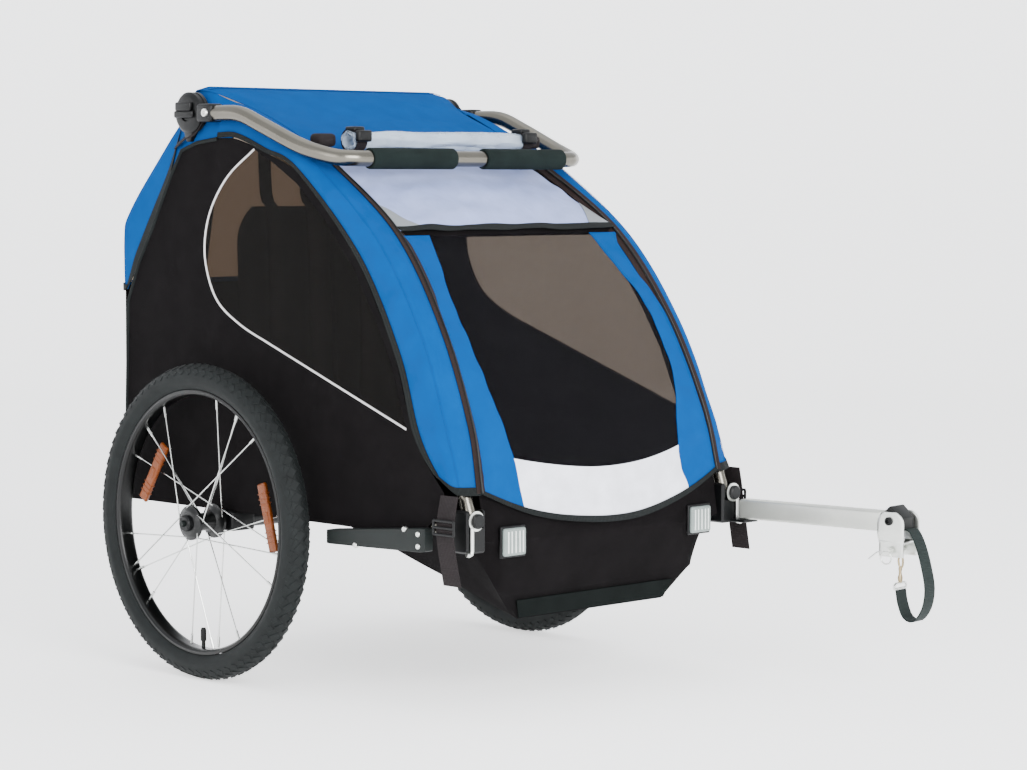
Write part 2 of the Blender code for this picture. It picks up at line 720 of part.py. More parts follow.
def make_safety_strap():
    """The webbing loop with the ring and snap hook on its end."""

    def place(u, v):
        point = on_curve(STRAP, v)
        return Vector((0.028 * (u - 0.5), point.y, point.z))

    sheet("safety_strap", 1, 3 * (len(STRAP) - 1), place, WEBBING, CLOTH, TOW_FRAME)
    box("strap_ring", (-0.0180, -0.2930, -0.1020), (0.0180, -0.2870, -0.0945), BRIGHT_STEEL, TOW_FRAME, 0.002)
    tube("snap_hook", [(0, -0.290, -0.0940), (0, -0.2895, -0.0760), (0, -0.2880, -0.0535)], 0.0035, BRIGHT_STEEL, TOW_FRAME)


def build():
    """Makes every piece of the trailer."""
    make_rails()
    make_floor()
    make_scuff_guard()
    make_seat()
    make_rear_frame()
    make_roof()
    make_rear_panel()
    make_brow()
    make_front_cover()
    make_handlebar()
    make_tow_arm()
    make_yoke()
    make_safety_strap()
    spoked_hub = make_spoked_hub()
    for side, sign in SIDES.items():
        make_corner(side, sign)
        make_wheel_guard(side, sign)
        make_front_reflector(side, sign)
        make_corner_strap(side, sign)
        make_wheel(side, sign, spoked_hub)
        make_hoop(side, sign)
        make_hub(side, sign)
        make_sleeve(side, sign)
        make_side_panel(side, sign)


build()
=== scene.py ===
"""Looks of a two-seat child bicycle trailer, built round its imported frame.

Forward is -Y, +X is the trailer's own left and +Z is up, all in metres. Every piece is shaped from the
point on the ground under the axle, which the datum then moves to where the frame has it.
"""

import json
import logging
import math
from collections.abc import Callable, Sequence
from dataclasses import dataclass
from enum import Enum
from typing import ClassVar

import bmesh
import bpy
from bmesh.types import BMEdge, BMesh, BMVert
from mathutils import Matrix, Vector, noise

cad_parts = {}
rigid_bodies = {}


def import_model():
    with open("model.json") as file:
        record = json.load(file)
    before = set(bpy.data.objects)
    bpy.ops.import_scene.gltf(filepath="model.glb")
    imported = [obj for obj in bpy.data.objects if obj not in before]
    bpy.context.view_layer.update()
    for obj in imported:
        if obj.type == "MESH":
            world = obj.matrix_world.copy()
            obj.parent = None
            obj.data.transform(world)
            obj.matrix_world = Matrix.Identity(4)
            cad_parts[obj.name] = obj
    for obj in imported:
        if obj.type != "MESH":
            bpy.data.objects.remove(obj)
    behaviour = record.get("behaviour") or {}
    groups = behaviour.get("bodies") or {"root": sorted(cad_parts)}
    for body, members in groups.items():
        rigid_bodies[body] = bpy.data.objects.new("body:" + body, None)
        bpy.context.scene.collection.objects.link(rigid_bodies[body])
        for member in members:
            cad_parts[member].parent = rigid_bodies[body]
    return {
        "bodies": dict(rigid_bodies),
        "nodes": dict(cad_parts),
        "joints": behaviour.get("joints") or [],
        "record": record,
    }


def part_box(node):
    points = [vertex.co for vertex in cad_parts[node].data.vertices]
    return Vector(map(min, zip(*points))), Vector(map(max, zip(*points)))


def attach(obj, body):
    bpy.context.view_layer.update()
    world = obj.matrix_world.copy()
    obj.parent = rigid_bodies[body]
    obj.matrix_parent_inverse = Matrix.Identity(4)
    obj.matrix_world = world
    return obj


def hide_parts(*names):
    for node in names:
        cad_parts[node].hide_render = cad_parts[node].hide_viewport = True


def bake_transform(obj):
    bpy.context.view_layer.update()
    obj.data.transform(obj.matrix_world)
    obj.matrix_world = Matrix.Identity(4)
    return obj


LOG = logging.getLogger("trailer")
# Edges that turn further than this stay sharp
SHARP_ANGLE = math.radians(38)
# Wall of a cloth panel, a binding tape and a strap's webbing
CLOTH = 0.0014
TAPE_WALL = 0.0012
WEB_WALL = 0.0016
# A wave texture's scale for one band to the metre
WAVES_PER_METRE = 0.314
# Radius of the thinner frame tubes, and of the rails and the handlebar
TUBE_RADIUS = 0.0115
RAIL_RADIUS = 0.0125
Place = Callable[[float, float], Vector]
Tree, Node, Socket = bpy.types.NodeTree, bpy.types.Node, bpy.types.NodeSocket


class Side(Enum):
    """The two sides, with the sign of their X."""

    RIGHT = -1
    LEFT = 1

    @property
    def tag(self) -> str:
        """The side's name, as the frame's nodes have it."""
        return self.name.lower()


class Body(Enum):
    """The frame's bodies that new pieces ride on.

    SIDES is no body of the frame: it marks the cloth between CHASSIS and CANOPY, which is left on no body.
    """

    CHASSIS = "chassis"
    REAR_FRAME = "seat_back_frame"
    CANOPY = "canopy"
    SIDES = "sides"
    COVER = "front_cover"
    HANDLEBAR = "handlebar"
    TOW_ARM = "tow_arm"
    YOKE = "hitch_yoke"
    PIN = "hitch_pin"
    STRAP = "safety_strap"


# Materials


def linear(colour: str) -> tuple[float, float, float, float]:
    """Turns an sRGB hex colour into linear red, green, blue and alpha.

    Args:
        colour: Six hex digits.

    Returns:
        The colour as a shader socket takes it.
    """
    channels = [int(colour[i : i + 2], 16) / 255 for i in (0, 2, 4)]
    return (*(c / 12.92 if c < 0.04045 else ((c + 0.055) / 1.055) ** 2.4 for c in channels), 1.0)


def add_node(tree: Tree, kind: str, inputs: dict, **settings: object) -> Node:
    """Adds one shader node.

    Args:
        tree: The material's node tree.
        kind: The node's type name.
        inputs: A value or an output socket for each input, by name or number.
        settings: The node's own settings.

    Returns:
        The new node.
    """
    made = tree.nodes.new(kind)
    for name, value in settings.items():
        setattr(made, name, value)
    for socket, value in inputs.items():
        if isinstance(value, Socket):
            tree.links.new(value, made.inputs[socket])
        else:
            made.inputs[socket].default_value = value
    return made


@dataclass(frozen=True)
class Finish:
    """A plain finish, and what every other finish starts from."""

    name: str
    slot: str
    colour: str
    roughness: float
    metallic: float = 0.0
    mottle: float = 0.06
    mottle_mm: float = 40.0
    cloth: ClassVar[bool] = False

    def material(self) -> bpy.types.Material:
        """The finish's material, made the first time that it is asked for."""
        made = bpy.data.materials.get(self.name)
        if made:
            return made
        made = bpy.data.materials.new(self.name)
        made.use_nodes = True
        tree = made.node_tree
        shader = tree.nodes["Principled BSDF"]
        shader.inputs["Roughness"].default_value = self.roughness
        shader.inputs["Metallic"].default_value = self.metallic
        where = add_node(tree, "ShaderNodeTexCoord", {})
        self.paint(tree, shader, where)
        height = self.relief(tree, where)
        if height:
            tree.links.new(height, shader.inputs["Normal"])
        self.extras(shader)
        return made

    def paint(self, tree: Tree, shader: Node, where: Node) -> None:
        """Gives the colour a soft unevenness, as dye lots, dust and handling do.

        Args:
            tree: The material's node tree.
            shader: Its surface shader.
            where: Its texture coordinates.
        """
        spots = add_node(
            tree,
            "ShaderNodeTexNoise",
            {"Vector": where.outputs["Object"], "Scale": 1000 / self.mottle_mm, "Detail": 4.0, "Roughness": 0.55},
        )
        base = linear(self.colour)
        dark = tuple(c * (1 - self.mottle * 2) for c in base[:3])
        light = tuple(min(c * (1 + self.mottle * 1.5) + self.mottle * 0.01, 1) for c in base[:3])
        ramp = add_node(tree, "ShaderNodeValToRGB", {"Fac": spots.outputs["Fac"]})
        for stop, position, colour in zip(ramp.color_ramp.elements, (0.3, 0.72), (dark, light)):
            stop.position, stop.color = position, (*colour, 1)
        tree.links.new(ramp.outputs["Color"], shader.inputs["Base Color"])

    def relief(self, tree: Tree, where: Node) -> Socket | None:
        """The finish's surface relief as a normal, if it has any."""
        return None

    def extras(self, shader: Node) -> None:
        """Sets the shader's own constants that only some finishes have."""


@dataclass(frozen=True)
class WovenCloth(Finish):
    """Plain-woven polyester: threads crossing over and under, and soft puckers in the cloth."""

    cloth: ClassVar[bool] = True

    thread_mm: float = 1.6
    weave_depth: float = 0.00022
    pucker_mm: float = 70.0
    pucker_depth: float = 0.0025
    shine: float = 0.2

    def relief(self, tree: Tree, where: Node) -> Socket | None:
        """Crosses two sets of threads, which real 0.4 mm threads would be too fine to show."""
        scale = WAVES_PER_METRE / (self.thread_mm / 1000)
        across, along = (
            add_node(
                tree,
                "ShaderNodeTexWave",
                {"Vector": where.outputs["UV"], "Scale": scale, "Distortion": 0.6, "Detail": 1.0, "Detail Scale": 0.4},
                bands_direction=direction,
            )
            for direction in ("X", "Y")
        )
        threads = add_node(
            tree, "ShaderNodeMath", {0: across.outputs["Fac"], 1: along.outputs["Fac"]}, operation="MULTIPLY"
        )
        folds = add_node(
            tree,
            "ShaderNodeTexNoise",
            {"Vector": where.outputs["Object"], "Scale": 1000 / self.pucker_mm, "Detail": 2.0, "Distortion": 0.7},
        )
        puckers = add_node(
            tree, "ShaderNodeBump", {"Height": folds.outputs["Fac"], "Distance": self.pucker_depth, "Strength": 0.9}
        )
        weave = add_node(
            tree,
            "ShaderNodeBump",
            {
                "Height": threads.outputs["Value"],
                "Distance": self.weave_depth,
                "Strength": 0.8,
                "Normal": puckers.outputs["Normal"],
            },
        )
        return weave.outputs["Normal"]

    def extras(self, shader: Node) -> None:
        """Sets how far the threads shine."""
        shader.inputs["Specular IOR Level"].default_value = self.shine


@dataclass(frozen=True)
class CoatedCloth(WovenCloth):
    """Cloth under a smooth coat, so its threads hardly show and it shines a little."""

    coat: float = 0.15

    def extras(self, shader: Node) -> None:
        """Adds the coat."""
        shader.inputs["Coat Weight"].default_value = self.coat
        shader.inputs["Coat Roughness"].default_value = 0.4


@dataclass(frozen=True)
class SeeThrough(WovenCloth):
    """Screen mesh or clear vinyl: part of what is behind it shows."""

    cover: float = 0.6
    specular: float = 0.5

    def extras(self, shader: Node) -> None:
        """Lets the light through."""
        shader.inputs["Alpha"].default_value = self.cover
        shader.inputs["Specular IOR Level"].default_value = self.specular


@dataclass(frozen=True)
class TintedFilm(Finish):
    """Window film that stains what is seen through it, under a faint reflection."""

    cloth: ClassVar[bool] = True

    tint: str = "BAB1A8"
    share: float = 0.1
    pucker_mm: float = 120.0

    def relief(self, tree: Tree, where: Node) -> Socket | None:
        """The film's slow ripples."""
        folds = add_node(
            tree, "ShaderNodeTexNoise", {"Vector": where.outputs["Object"], "Scale": 1000 / self.pucker_mm}
        )
        bump = add_node(tree, "ShaderNodeBump", {"Height": folds.outputs["Fac"], "Distance": 0.004, "Strength": 0.6})
        return bump.outputs["Normal"]

    def extras(self, shader: Node) -> None:
        """Mixes the surface with a tinted view of what is behind it; each pane has two faces."""
        tree = shader.id_data
        behind = add_node(tree, "ShaderNodeBsdfTransparent", {"Color": linear(self.tint)})
        mixed = add_node(
            tree, "ShaderNodeMixShader", {0: self.share, 1: behind.outputs["BSDF"], 2: shader.outputs["BSDF"]}
        )
        tree.links.new(mixed.outputs["Shader"], tree.nodes["Material Output"].inputs["Surface"])


@dataclass(frozen=True)
class LitPaint(Finish):
    """A surface that glows as well: a studio sweep lit from behind, or cloth with a painted glow for daylight coming
    through it.
    """

    cloth: ClassVar[bool] = True

    glow: float = 1.0
    glow_colour: str = "FFFFFF"

    def extras(self, shader: Node) -> None:
        """Adds the glow."""
        shader.inputs["Emission Color"].default_value = linear(self.glow_colour)
        shader.inputs["Emission Strength"].default_value = self.glow


@dataclass(frozen=True)
class Webbing(Finish):
    """Woven nylon tape with ribs across it."""

    rib_mm: float = 2.2

    def relief(self, tree: Tree, where: Node) -> Socket | None:
        """Ribs across the tape, and the finer threads along it."""
        ribs, threads = (
            add_node(
                tree,
                "ShaderNodeTexWave",
                {"Vector": where.outputs["UV"], "Scale": WAVES_PER_METRE / (pitch / 1000), "Distortion": 0.3},
                bands_direction=direction,
            )
            for direction, pitch in (("Y", self.rib_mm), ("X", self.rib_mm * 1.4))
        )
        both = add_node(tree, "ShaderNodeMath", {0: ribs.outputs["Fac"], 1: threads.outputs["Fac"]}, operation="ADD")
        bump = add_node(tree, "ShaderNodeBump", {"Height": both.outputs["Value"], "Distance": 0.0004, "Strength": 0.8})
        return bump.outputs["Normal"]

    def extras(self, shader: Node) -> None:
        """Adds a slight shine."""
        shader.inputs["Specular IOR Level"].default_value = 0.2


@dataclass(frozen=True)
class Grained(Finish):
    """A surface with an even grain, such as moulded plastic, foam rubber, cast or brushed metal."""

    grain_mm: float = 1.5
    grain_depth: float = 0.0001
    stretch: tuple[float, float, float] = (1.0, 1.0, 1.0)
    coat: float = 0.0
    anisotropy: float = 0.0
    shine: float = 0.5

    def relief(self, tree: Tree, where: Node) -> Socket | None:
        """The grain, stretched along the way the surface was drawn or brushed."""
        turned = add_node(tree, "ShaderNodeMapping", {"Vector": where.outputs["Object"], "Scale": self.stretch})
        grain = add_node(
            tree,
            "ShaderNodeTexNoise",
            {"Vector": turned.outputs["Vector"], "Scale": 1000 / self.grain_mm, "Detail": 3.0, "Roughness": 0.6},
        )
        bump = add_node(
            tree, "ShaderNodeBump", {"Height": grain.outputs["Fac"], "Distance": self.grain_depth, "Strength": 0.7}
        )
        return bump.outputs["Normal"]

    def extras(self, shader: Node) -> None:
        """Sets the clear coat and the brushing's streaked shine."""
        shader.inputs["Specular IOR Level"].default_value = self.shine
        shader.inputs["Coat Weight"].default_value = self.coat
        shader.inputs["Coat Roughness"].default_value = 0.25
        shader.inputs["Anisotropic"].default_value = self.anisotropy


@dataclass(frozen=True)
class PrismLens(Finish):
    """A moulded reflector lens: rows of small prisms under a smooth clear face."""

    prism_mm: float = 3.0

    def relief(self, tree: Tree, where: Node) -> Socket | None:
        """The prisms, as cells that each tip their own way."""
        cells = add_node(
            tree,
            "ShaderNodeTexVoronoi",
            {"Vector": where.outputs["Object"], "Scale": 1000 / self.prism_mm, "Randomness": 0.25},
        )
        bump = add_node(
            tree, "ShaderNodeBump", {"Height": cells.outputs["Distance"], "Distance": 0.0012, "Strength": 0.9}
        )
        return bump.outputs["Normal"]

    def extras(self, shader: Node) -> None:
        """Adds the clear face."""
        shader.inputs["Specular IOR Level"].default_value = 0.25
        shader.inputs["Coat Weight"].default_value = 0.1
        shader.inputs["Coat Roughness"].default_value = 0.06


# Solution-dyed polyester: an even, saturated blue with a soft matt face
BLUE = WovenCloth("blue_polyester_cloth", "blue_cloth", "003F7C", 0.8, mottle=0.04, shine=0.04)
# The same cloth in black, which dust turns slightly brown
BLACK = WovenCloth("black_polyester_cloth", "black_cloth", "080607", 0.9, mottle=0.1, shine=0.08)
# Polyurethane-coated nylon, a cool silver white
SILVER = CoatedCloth("silver_coated_nylon", "white_cloth", "8A98C6", 0.5, weave_depth=0.00006, pucker_depth=0.004)
# Reflective white vinyl-coated band
WHITE = CoatedCloth("white_coated_band", "white_cloth", "E6E8F2", 0.45, weave_depth=0.00006, pucker_depth=0.0015)
# Grey coated cloth sewn over the flap's corners, dull and flat
GREY_PATCH = CoatedCloth("grey_corner_patch", "white_cloth", "73787C", 0.5, pucker_depth=0.001)
# Insect screen: black threads with open holes, so the cabin shows dimly through it
SCREEN = SeeThrough("black_insect_screen", "black_cloth", "07060A", 0.8, cover=0.5, thread_mm=2.4, specular=0.1)
# Window film tinted brown, glossy and slightly rippled
FILM = TintedFilm("brown_window_film", "clear_sheet", "0A0706", 0.2)
# Clear soft vinyl, seen rolled up; its pale blue-white colour is a painted highlight for its many layers catching the
# light
VINYL = SeeThrough(
    "clear_soft_vinyl", "clear_sheet", "C8D6E6", 0.12, cover=0.42, weave_depth=0.0, pucker_mm=22.0, pucker_depth=0.006
)
# Piping cord in a woven cover: a thin, matt, off-white line
PIPING = Grained("white_piping_cord", "white_cloth", "C4C2C2", 0.6, grain_mm=1.0)
# Ribbed polyester tape, which bounds each panel with a dull dark edge
TAPE = Webbing("black_binding_tape", "webbing", "080D0D", 0.8)
ZIP_TAPE = Webbing("brown_black_zip_tape", "webbing", "1C100E", 0.75, rib_mm=1.6)
# Nylon webbing for the load-bearing straps; its ribs are drawn coarser than the real 1 mm so that they show
STRAP_WEB = Webbing("black_nylon_webbing", "webbing", "1A1516", 0.8)
GREEN_WEB = Webbing("dark_green_webbing", "webbing", "0B1715", 0.7)
# Satin anodised aluminium tube, drawn, with fine streaks along it
TUBE = Grained("anodised_aluminium_tube", "aluminium", "6A675F", 0.26, 1.0, 0.03, grain_mm=2.0, grain_depth=0.00003)
# Brushed square bar, whose streaks run along it
BAR = Grained("brushed_aluminium_bar", "aluminium", "C6C8C2", 0.45, 1.0, 0.04, stretch=(1.0, 0.06, 1.0), anisotropy=0.4)
# Bright zinc plate over pressed steel: almost white, with a soft shine
ZINC = Grained("zinc_plated_steel", "bright_steel", "D9DBD6", 0.3, 1.0, 0.05, grain_mm=3.0, grain_depth=0.00004)
# Drawn stainless wire, bright and smooth
WIRE = Grained("stainless_steel_wire", "stainless", "C9CBC8", 0.22, 1.0, 0.02, grain_depth=0.0)
# Plated brass, worn to a warm yellow grey
BRASS = Grained("worn_brass_plate", "bright_steel", "A89878", 0.32, 1.0, 0.1, grain_mm=3.0, grain_depth=0.00004)
# Injection-moulded nylon: black with a fine spark-eroded grain
NYLON_GRAIN = {"mottle": 0.08, "grain_mm": 1.2, "grain_depth": 0.00012}
NYLON = Grained("moulded_black_nylon", "black_plastic", "060708", 0.4, shine=0.22, **NYLON_GRAIN)
GUARD = Grained("moulded_grey_nylon", "black_plastic", "101514", 0.5, shine=0.2, **NYLON_GRAIN)
# Closed-cell foam rubber: dull, with open pores
FOAM = Grained(
    "black_foam_rubber", "grip_foam", "141C1B", 0.95, mottle=0.1, grain_mm=1.6, grain_depth=0.0005, shine=0.1
)
# Cast urethane and rubber-coated cloth: near black, the first satin and the second dull
URETHANE = Grained(
    "cast_black_urethane", "rubber", "090A0A", 0.5, mottle=0.06, grain_mm=4.0, grain_depth=0.0001, shine=0.2
)
SCUFF = Grained(
    "rubber_coated_cloth", "rubber", "060B0A", 0.75, mottle=0.1, grain_mm=2.4, grain_depth=0.0004, shine=0.06
)
# Tyre rubber, dusty in patches
RUBBER = Grained(
    "vulcanised_tyre_rubber", "tyre", "0C1010", 0.7,
    mottle=0.14, mottle_mm=18, grain_mm=1.8, grain_depth=0.0003, shine=0.2,
)
# Black anodised aluminium under a thin clear seal
ANODISED = Grained(
    "black_anodised_rim", "black_rim", "040505", 0.3, 0.2, 0.05, grain_depth=0.00003, coat=0.15, shine=0.3
)
# Acrylic lenses, amber on the wheels and clear in front, which break the light into small cells
AMBER = PrismLens("amber_acrylic_lens", "amber_lens", "6A3000", 0.3)
CLEAR = PrismLens("clear_acrylic_lens", "clear_lens", "7C8683", 0.3)
# The ribs between the lens's prisms, a lighter copy of the lens's acrylic: a painted highlight
RIB_HIGHLIGHT = PrismLens("bright_acrylic_ribs", "clear_lens", "D8DCD9", 0.2)
# Grey coat inside the roof cloth, with a painted glow that stands for daylight coming through it
PAINTED_GLOW_LINING = LitPaint("grey_roof_lining", "blue_cloth", "6E6258", 0.9, glow=0.55, glow_colour="E8D6C4")
# Matt white studio floor
PAINT = LitPaint("pale_studio_floor", "", "FAFAFA", 0.95, mottle=0.0)


# Shapes


def on_curve(points: Sequence[Sequence[float]], t: float) -> Vector:
    """The point at t on a smooth curve through the points.

    Args:
        points: What the curve passes through.
        t: How far along, from 0 to 1.

    Returns:
        The point there.
    """
    points = [Vector(p) for p in points]
    span = t * (len(points) - 1)
    i = max(min(int(span), len(points) - 2), 0)
    s = span - i
    a, b = points[i], points[i + 1]
    before = points[i - 1] if i else a * 2 - b
    after = points[i + 2] if i + 2 < len(points) else b * 2 - a
    leave, arrive = (b - before) / 2, (after - a) / 2
    return (
        a * (2 * s**3 - 3 * s**2 + 1)
        + leave * (s**3 - 2 * s**2 + s)
        + b * (3 * s**2 - 2 * s**3)
        + arrive * (s**3 - s**2)
    )


def smooth_route(points: Sequence[Sequence[float]], steps: int) -> list[Vector]:
    """Points along the smooth curve, with so many steps to each stretch."""
    count = steps * (len(points) - 1)
    return [on_curve(points, i / count) for i in range(count + 1)]


def flat_line(points: Sequence[tuple[float, float]], steps: int = 0) -> list[Vector]:
    """A line of (y, z) points as flat vectors, smoothed where steps are given."""
    line = [Vector((*p, 0)) for p in points]
    return smooth_route(line, steps) if steps else line


def length_of(path: Sequence[Vector]) -> float:
    """The length of a path."""
    return sum((b - a).length for a, b in zip(path, path[1:]))


def ripple(point: Vector, size: float) -> float:
    """A smooth random value from about -1 to 1 that changes over the given size."""
    return noise.noise(point / size)


def sheet(across: int, along: int, place: Place) -> BMesh:
    """A cloth panel, with its weave's coordinates in metres.

    Args:
        across: How many faces from u = 0 to u = 1.
        along: How many faces from v = 0 to v = 1.
        place: Gives the point at u, v.

    Returns:
        The panel, with no thickness yet.
    """
    bm = bmesh.new()
    layer = bm.loops.layers.uv.new("cloth")
    bmesh.ops.create_grid(bm, x_segments=across, y_segments=along, size=0.5, calc_uvs=True)
    wide = length_of([place(i / across, 0.5) for i in range(across + 1)])
    tall = length_of([place(0.5, i / along) for i in range(along + 1)])
    for face in bm.faces:
        for loop in face.loops:
            loop[layer].uv = (loop[layer].uv.x * wide, loop[layer].uv.y * tall)
    for vert in bm.verts:
        vert.co = place(vert.co.x + 0.5, vert.co.y + 0.5)
    return bm


def lifted(place: Place, lift: float) -> Place:
    """A surface parallel to another, on the side that cross(u, v) points to."""

    def at(u: float, v: float) -> Vector:
        step = 0.002
        along_u = place(u + step, v) - place(u - step, v)
        along_v = place(u, v + step) - place(u, v - step)
        return place(u, v) + along_u.cross(along_v).normalized() * lift

    return at


def part_of(place: Place, low: Callable, high: Callable, start: float = 0.0, end: float = 1.0) -> Place:
    """The part of a surface between two lines.

    Args:
        place: The whole surface.
        low: Gives the u of the first line at a v.
        high: Gives the u of the second line at a v.
        start: The v where the part starts.
        end: The v where it ends.

    Returns:
        The part, as its own surface from 0 to 1.
    """

    def at(u: float, v: float) -> Vector:
        whole_v = start + (end - start) * v
        return place(low(whole_v) + (high(whole_v) - low(whole_v)) * u, whole_v)

    return at


def ribbon(path: Sequence[Vector], across: Vector, width: float, columns: int = 2) -> BMesh:
    """A flat strap along a path.

    Args:
        path: Its centreline.
        across: The way its width lies.
        width: Its width.
        columns: How many faces across.

    Returns:
        The strap, with no thickness yet.
    """

    def at(u: float, v: float) -> Vector:
        return on_curve(path, v) + across * ((u - 0.5) * width)

    return sheet(columns, 3 * (len(path) - 1), at)


def sweep(path: Sequence[Sequence[float]], radius: float, sides: int = 20, flat: float = 1.0) -> BMesh:
    """A round bar along a path, with capped ends.

    Args:
        path: Its centreline.
        radius: Its radius.
        sides: How many sides it has.
        flat: How much thinner it is one way than the other.

    Returns:
        The bar.
    """
    points = [Vector(p) for p in path]
    aims = [(b - a).normalized() for a, b in zip(points, points[1:])]
    tangents = [aims[0], *((a + b).normalized() for a, b in zip(aims, aims[1:])), aims[-1]]
    turn = Vector((0, 0, 1)).rotation_difference(tangents[0])
    bm = bmesh.new()
    bmesh.ops.create_circle(bm, segments=sides, radius=radius, cap_ends=True)
    bmesh.ops.scale(bm, vec=(flat, 1, 1), verts=bm.verts)
    here = Matrix.LocRotScale(points[0], turn, None)
    bmesh.ops.transform(bm, matrix=here, verts=bm.verts)
    rim = bm.edges[:]
    for i in range(1, len(points)):
        turn = tangents[i - 1].rotation_difference(tangents[i]) @ turn
        there = Matrix.LocRotScale(points[i], turn, None)
        made = bmesh.ops.extrude_edge_only(bm, edges=rim)["geom"]
        verts = [g for g in made if isinstance(g, BMVert)]
        bmesh.ops.transform(bm, matrix=there @ here.inverted(), verts=verts)
        rim = [g for g in made if isinstance(g, BMEdge) and g.is_boundary]
        here = there
    bmesh.ops.edgeloop_fill(bm, edges=rim)
    return bm


def spun(bm: BMesh, axis: tuple[int, int, int], steps: int) -> BMesh:
    """Turns a line or a section all the way round an axis through the origin."""
    geom = bm.verts[:] + bm.edges[:]
    bmesh.ops.spin(bm, geom=geom, cent=(0, 0, 0), axis=axis, angle=math.tau, steps=steps, use_merge=True)
    return bm


def ring(radius: float, thick: float, sides: int = 12, steps: int = 32) -> BMesh:
    """A round ring about X."""
    bm = bmesh.new()
    made = bmesh.ops.create_circle(bm, segments=sides, radius=thick)["verts"]
    bmesh.ops.rotate(bm, verts=made, matrix=Matrix.Rotation(math.pi / 2, 3, "X"))
    bmesh.ops.translate(bm, verts=made, vec=(0, 0, radius))
    return spun(bm, (1, 0, 0), steps)


def turned(profile: Sequence[tuple[float, float]], steps: int, closed: bool = True) -> BMesh:
    """A shape turned about X from (radius, along) pairs.

    Args:
        profile: The section.
        steps: How many steps round.
        closed: Whether the section's last point joins its first.

    Returns:
        The turned shape.
    """
    bm = bmesh.new()
    verts = [bm.verts.new((along, 0, radius)) for radius, along in profile]
    pairs = zip(verts, verts[1:] + verts[:1]) if closed else zip(verts, verts[1:])
    for a, b in pairs:
        bm.edges.new((a, b))
    spun(bm, (1, 0, 0), steps)
    bmesh.ops.remove_doubles(bm, verts=bm.verts, dist=0.000001)
    return bm


def rounded(bm: BMesh, rounding: float, segments: int) -> None:
    """Rounds all of a shape's edges."""
    bmesh.ops.bevel(bm, geom=bm.edges[:], offset=rounding, segments=segments, profile=0.5, affect="EDGES", material=-1)


def block(low: Sequence[float], high: Sequence[float], rounding: float, segments: int = 3) -> BMesh:
    """A block between two corners with rounded edges."""
    size = Vector(high) - Vector(low)
    bm = bmesh.new()
    bmesh.ops.create_cube(bm, size=1)
    bmesh.ops.scale(bm, verts=bm.verts, vec=size)
    rounded(bm, rounding, segments)
    bmesh.ops.translate(bm, verts=bm.verts, vec=(Vector(high) + Vector(low)) / 2)
    return bm


def moved(bm: BMesh, matrix: Matrix) -> BMesh:
    """Moves and turns a shape."""
    bmesh.ops.transform(bm, matrix=matrix, verts=bm.verts)
    return bm


def at(x: float, y: float, z: float) -> Matrix:
    """A move, as a matrix."""
    return Matrix.Translation((x, y, z))


def spin(degrees: float, axis: str) -> Matrix:
    """A turn about an axis, as a matrix."""
    return Matrix.Rotation(math.radians(degrees), 4, axis)


def mirror(side: int) -> Matrix:
    """A flip of X for the right-hand side, as a matrix."""
    return Matrix.Scale(side, 4, (1, 0, 0))


def together(*shapes: BMesh) -> BMesh:
    """Gathers shapes into one, and frees all but the first."""
    whole = shapes[0]
    for shape in shapes[1:]:
        held = bpy.data.meshes.new("held")
        shape.to_mesh(held)
        shape.free()
        whole.from_mesh(held)
        bpy.data.meshes.remove(held)
    return whole


def flat_panel(outline: Sequence[Vector], hole: Sequence[Vector], place: Callable[[float, float], Vector]) -> BMesh:
    """A flat cloth panel with an opening.

    Args:
        outline: Its edge, as (y, z).
        hole: The opening's edge, or nothing.
        place: Gives the point for a y and z.

    Returns:
        The panel, with no thickness yet.
    """
    bm = bmesh.new()
    layer = bm.loops.layers.uv.new("cloth")
    for line in (outline, hole):
        verts = [bm.verts.new((p[0], p[1], 0)) for p in line]
        for a, b in zip(verts, verts[1:] + verts[:1]):
            bm.edges.new((a, b))
    bmesh.ops.triangle_fill(bm, use_beauty=True, use_dissolve=False, edges=bm.edges[:])
    bmesh.ops.subdivide_edges(bm, edges=bm.edges[:], cuts=3, use_grid_fill=True)
    for face in bm.faces:
        for loop in face.loops:
            loop[layer].uv = loop.vert.co.xy
    for vert in bm.verts:
        vert.co = place(vert.co.x, vert.co.y)
    return bm


def cut_size(bm: BMesh) -> tuple[float, float, float]:
    """The flat size of an open cloth panel.

    Args:
        bm: The panel, before it has a thickness.

    Returns:
        Its width and length in metres, and its area in square metres.
    """
    layer = bm.loops.layers.uv["cloth"]
    spots = [loop[layer].uv for face in bm.faces for loop in face.loops]
    width, length = sorted(max(axis) - min(axis) for axis in zip(*spots))
    area = sum(face.calc_area() for face in bm.faces)
    return max(width, area / length), length, area


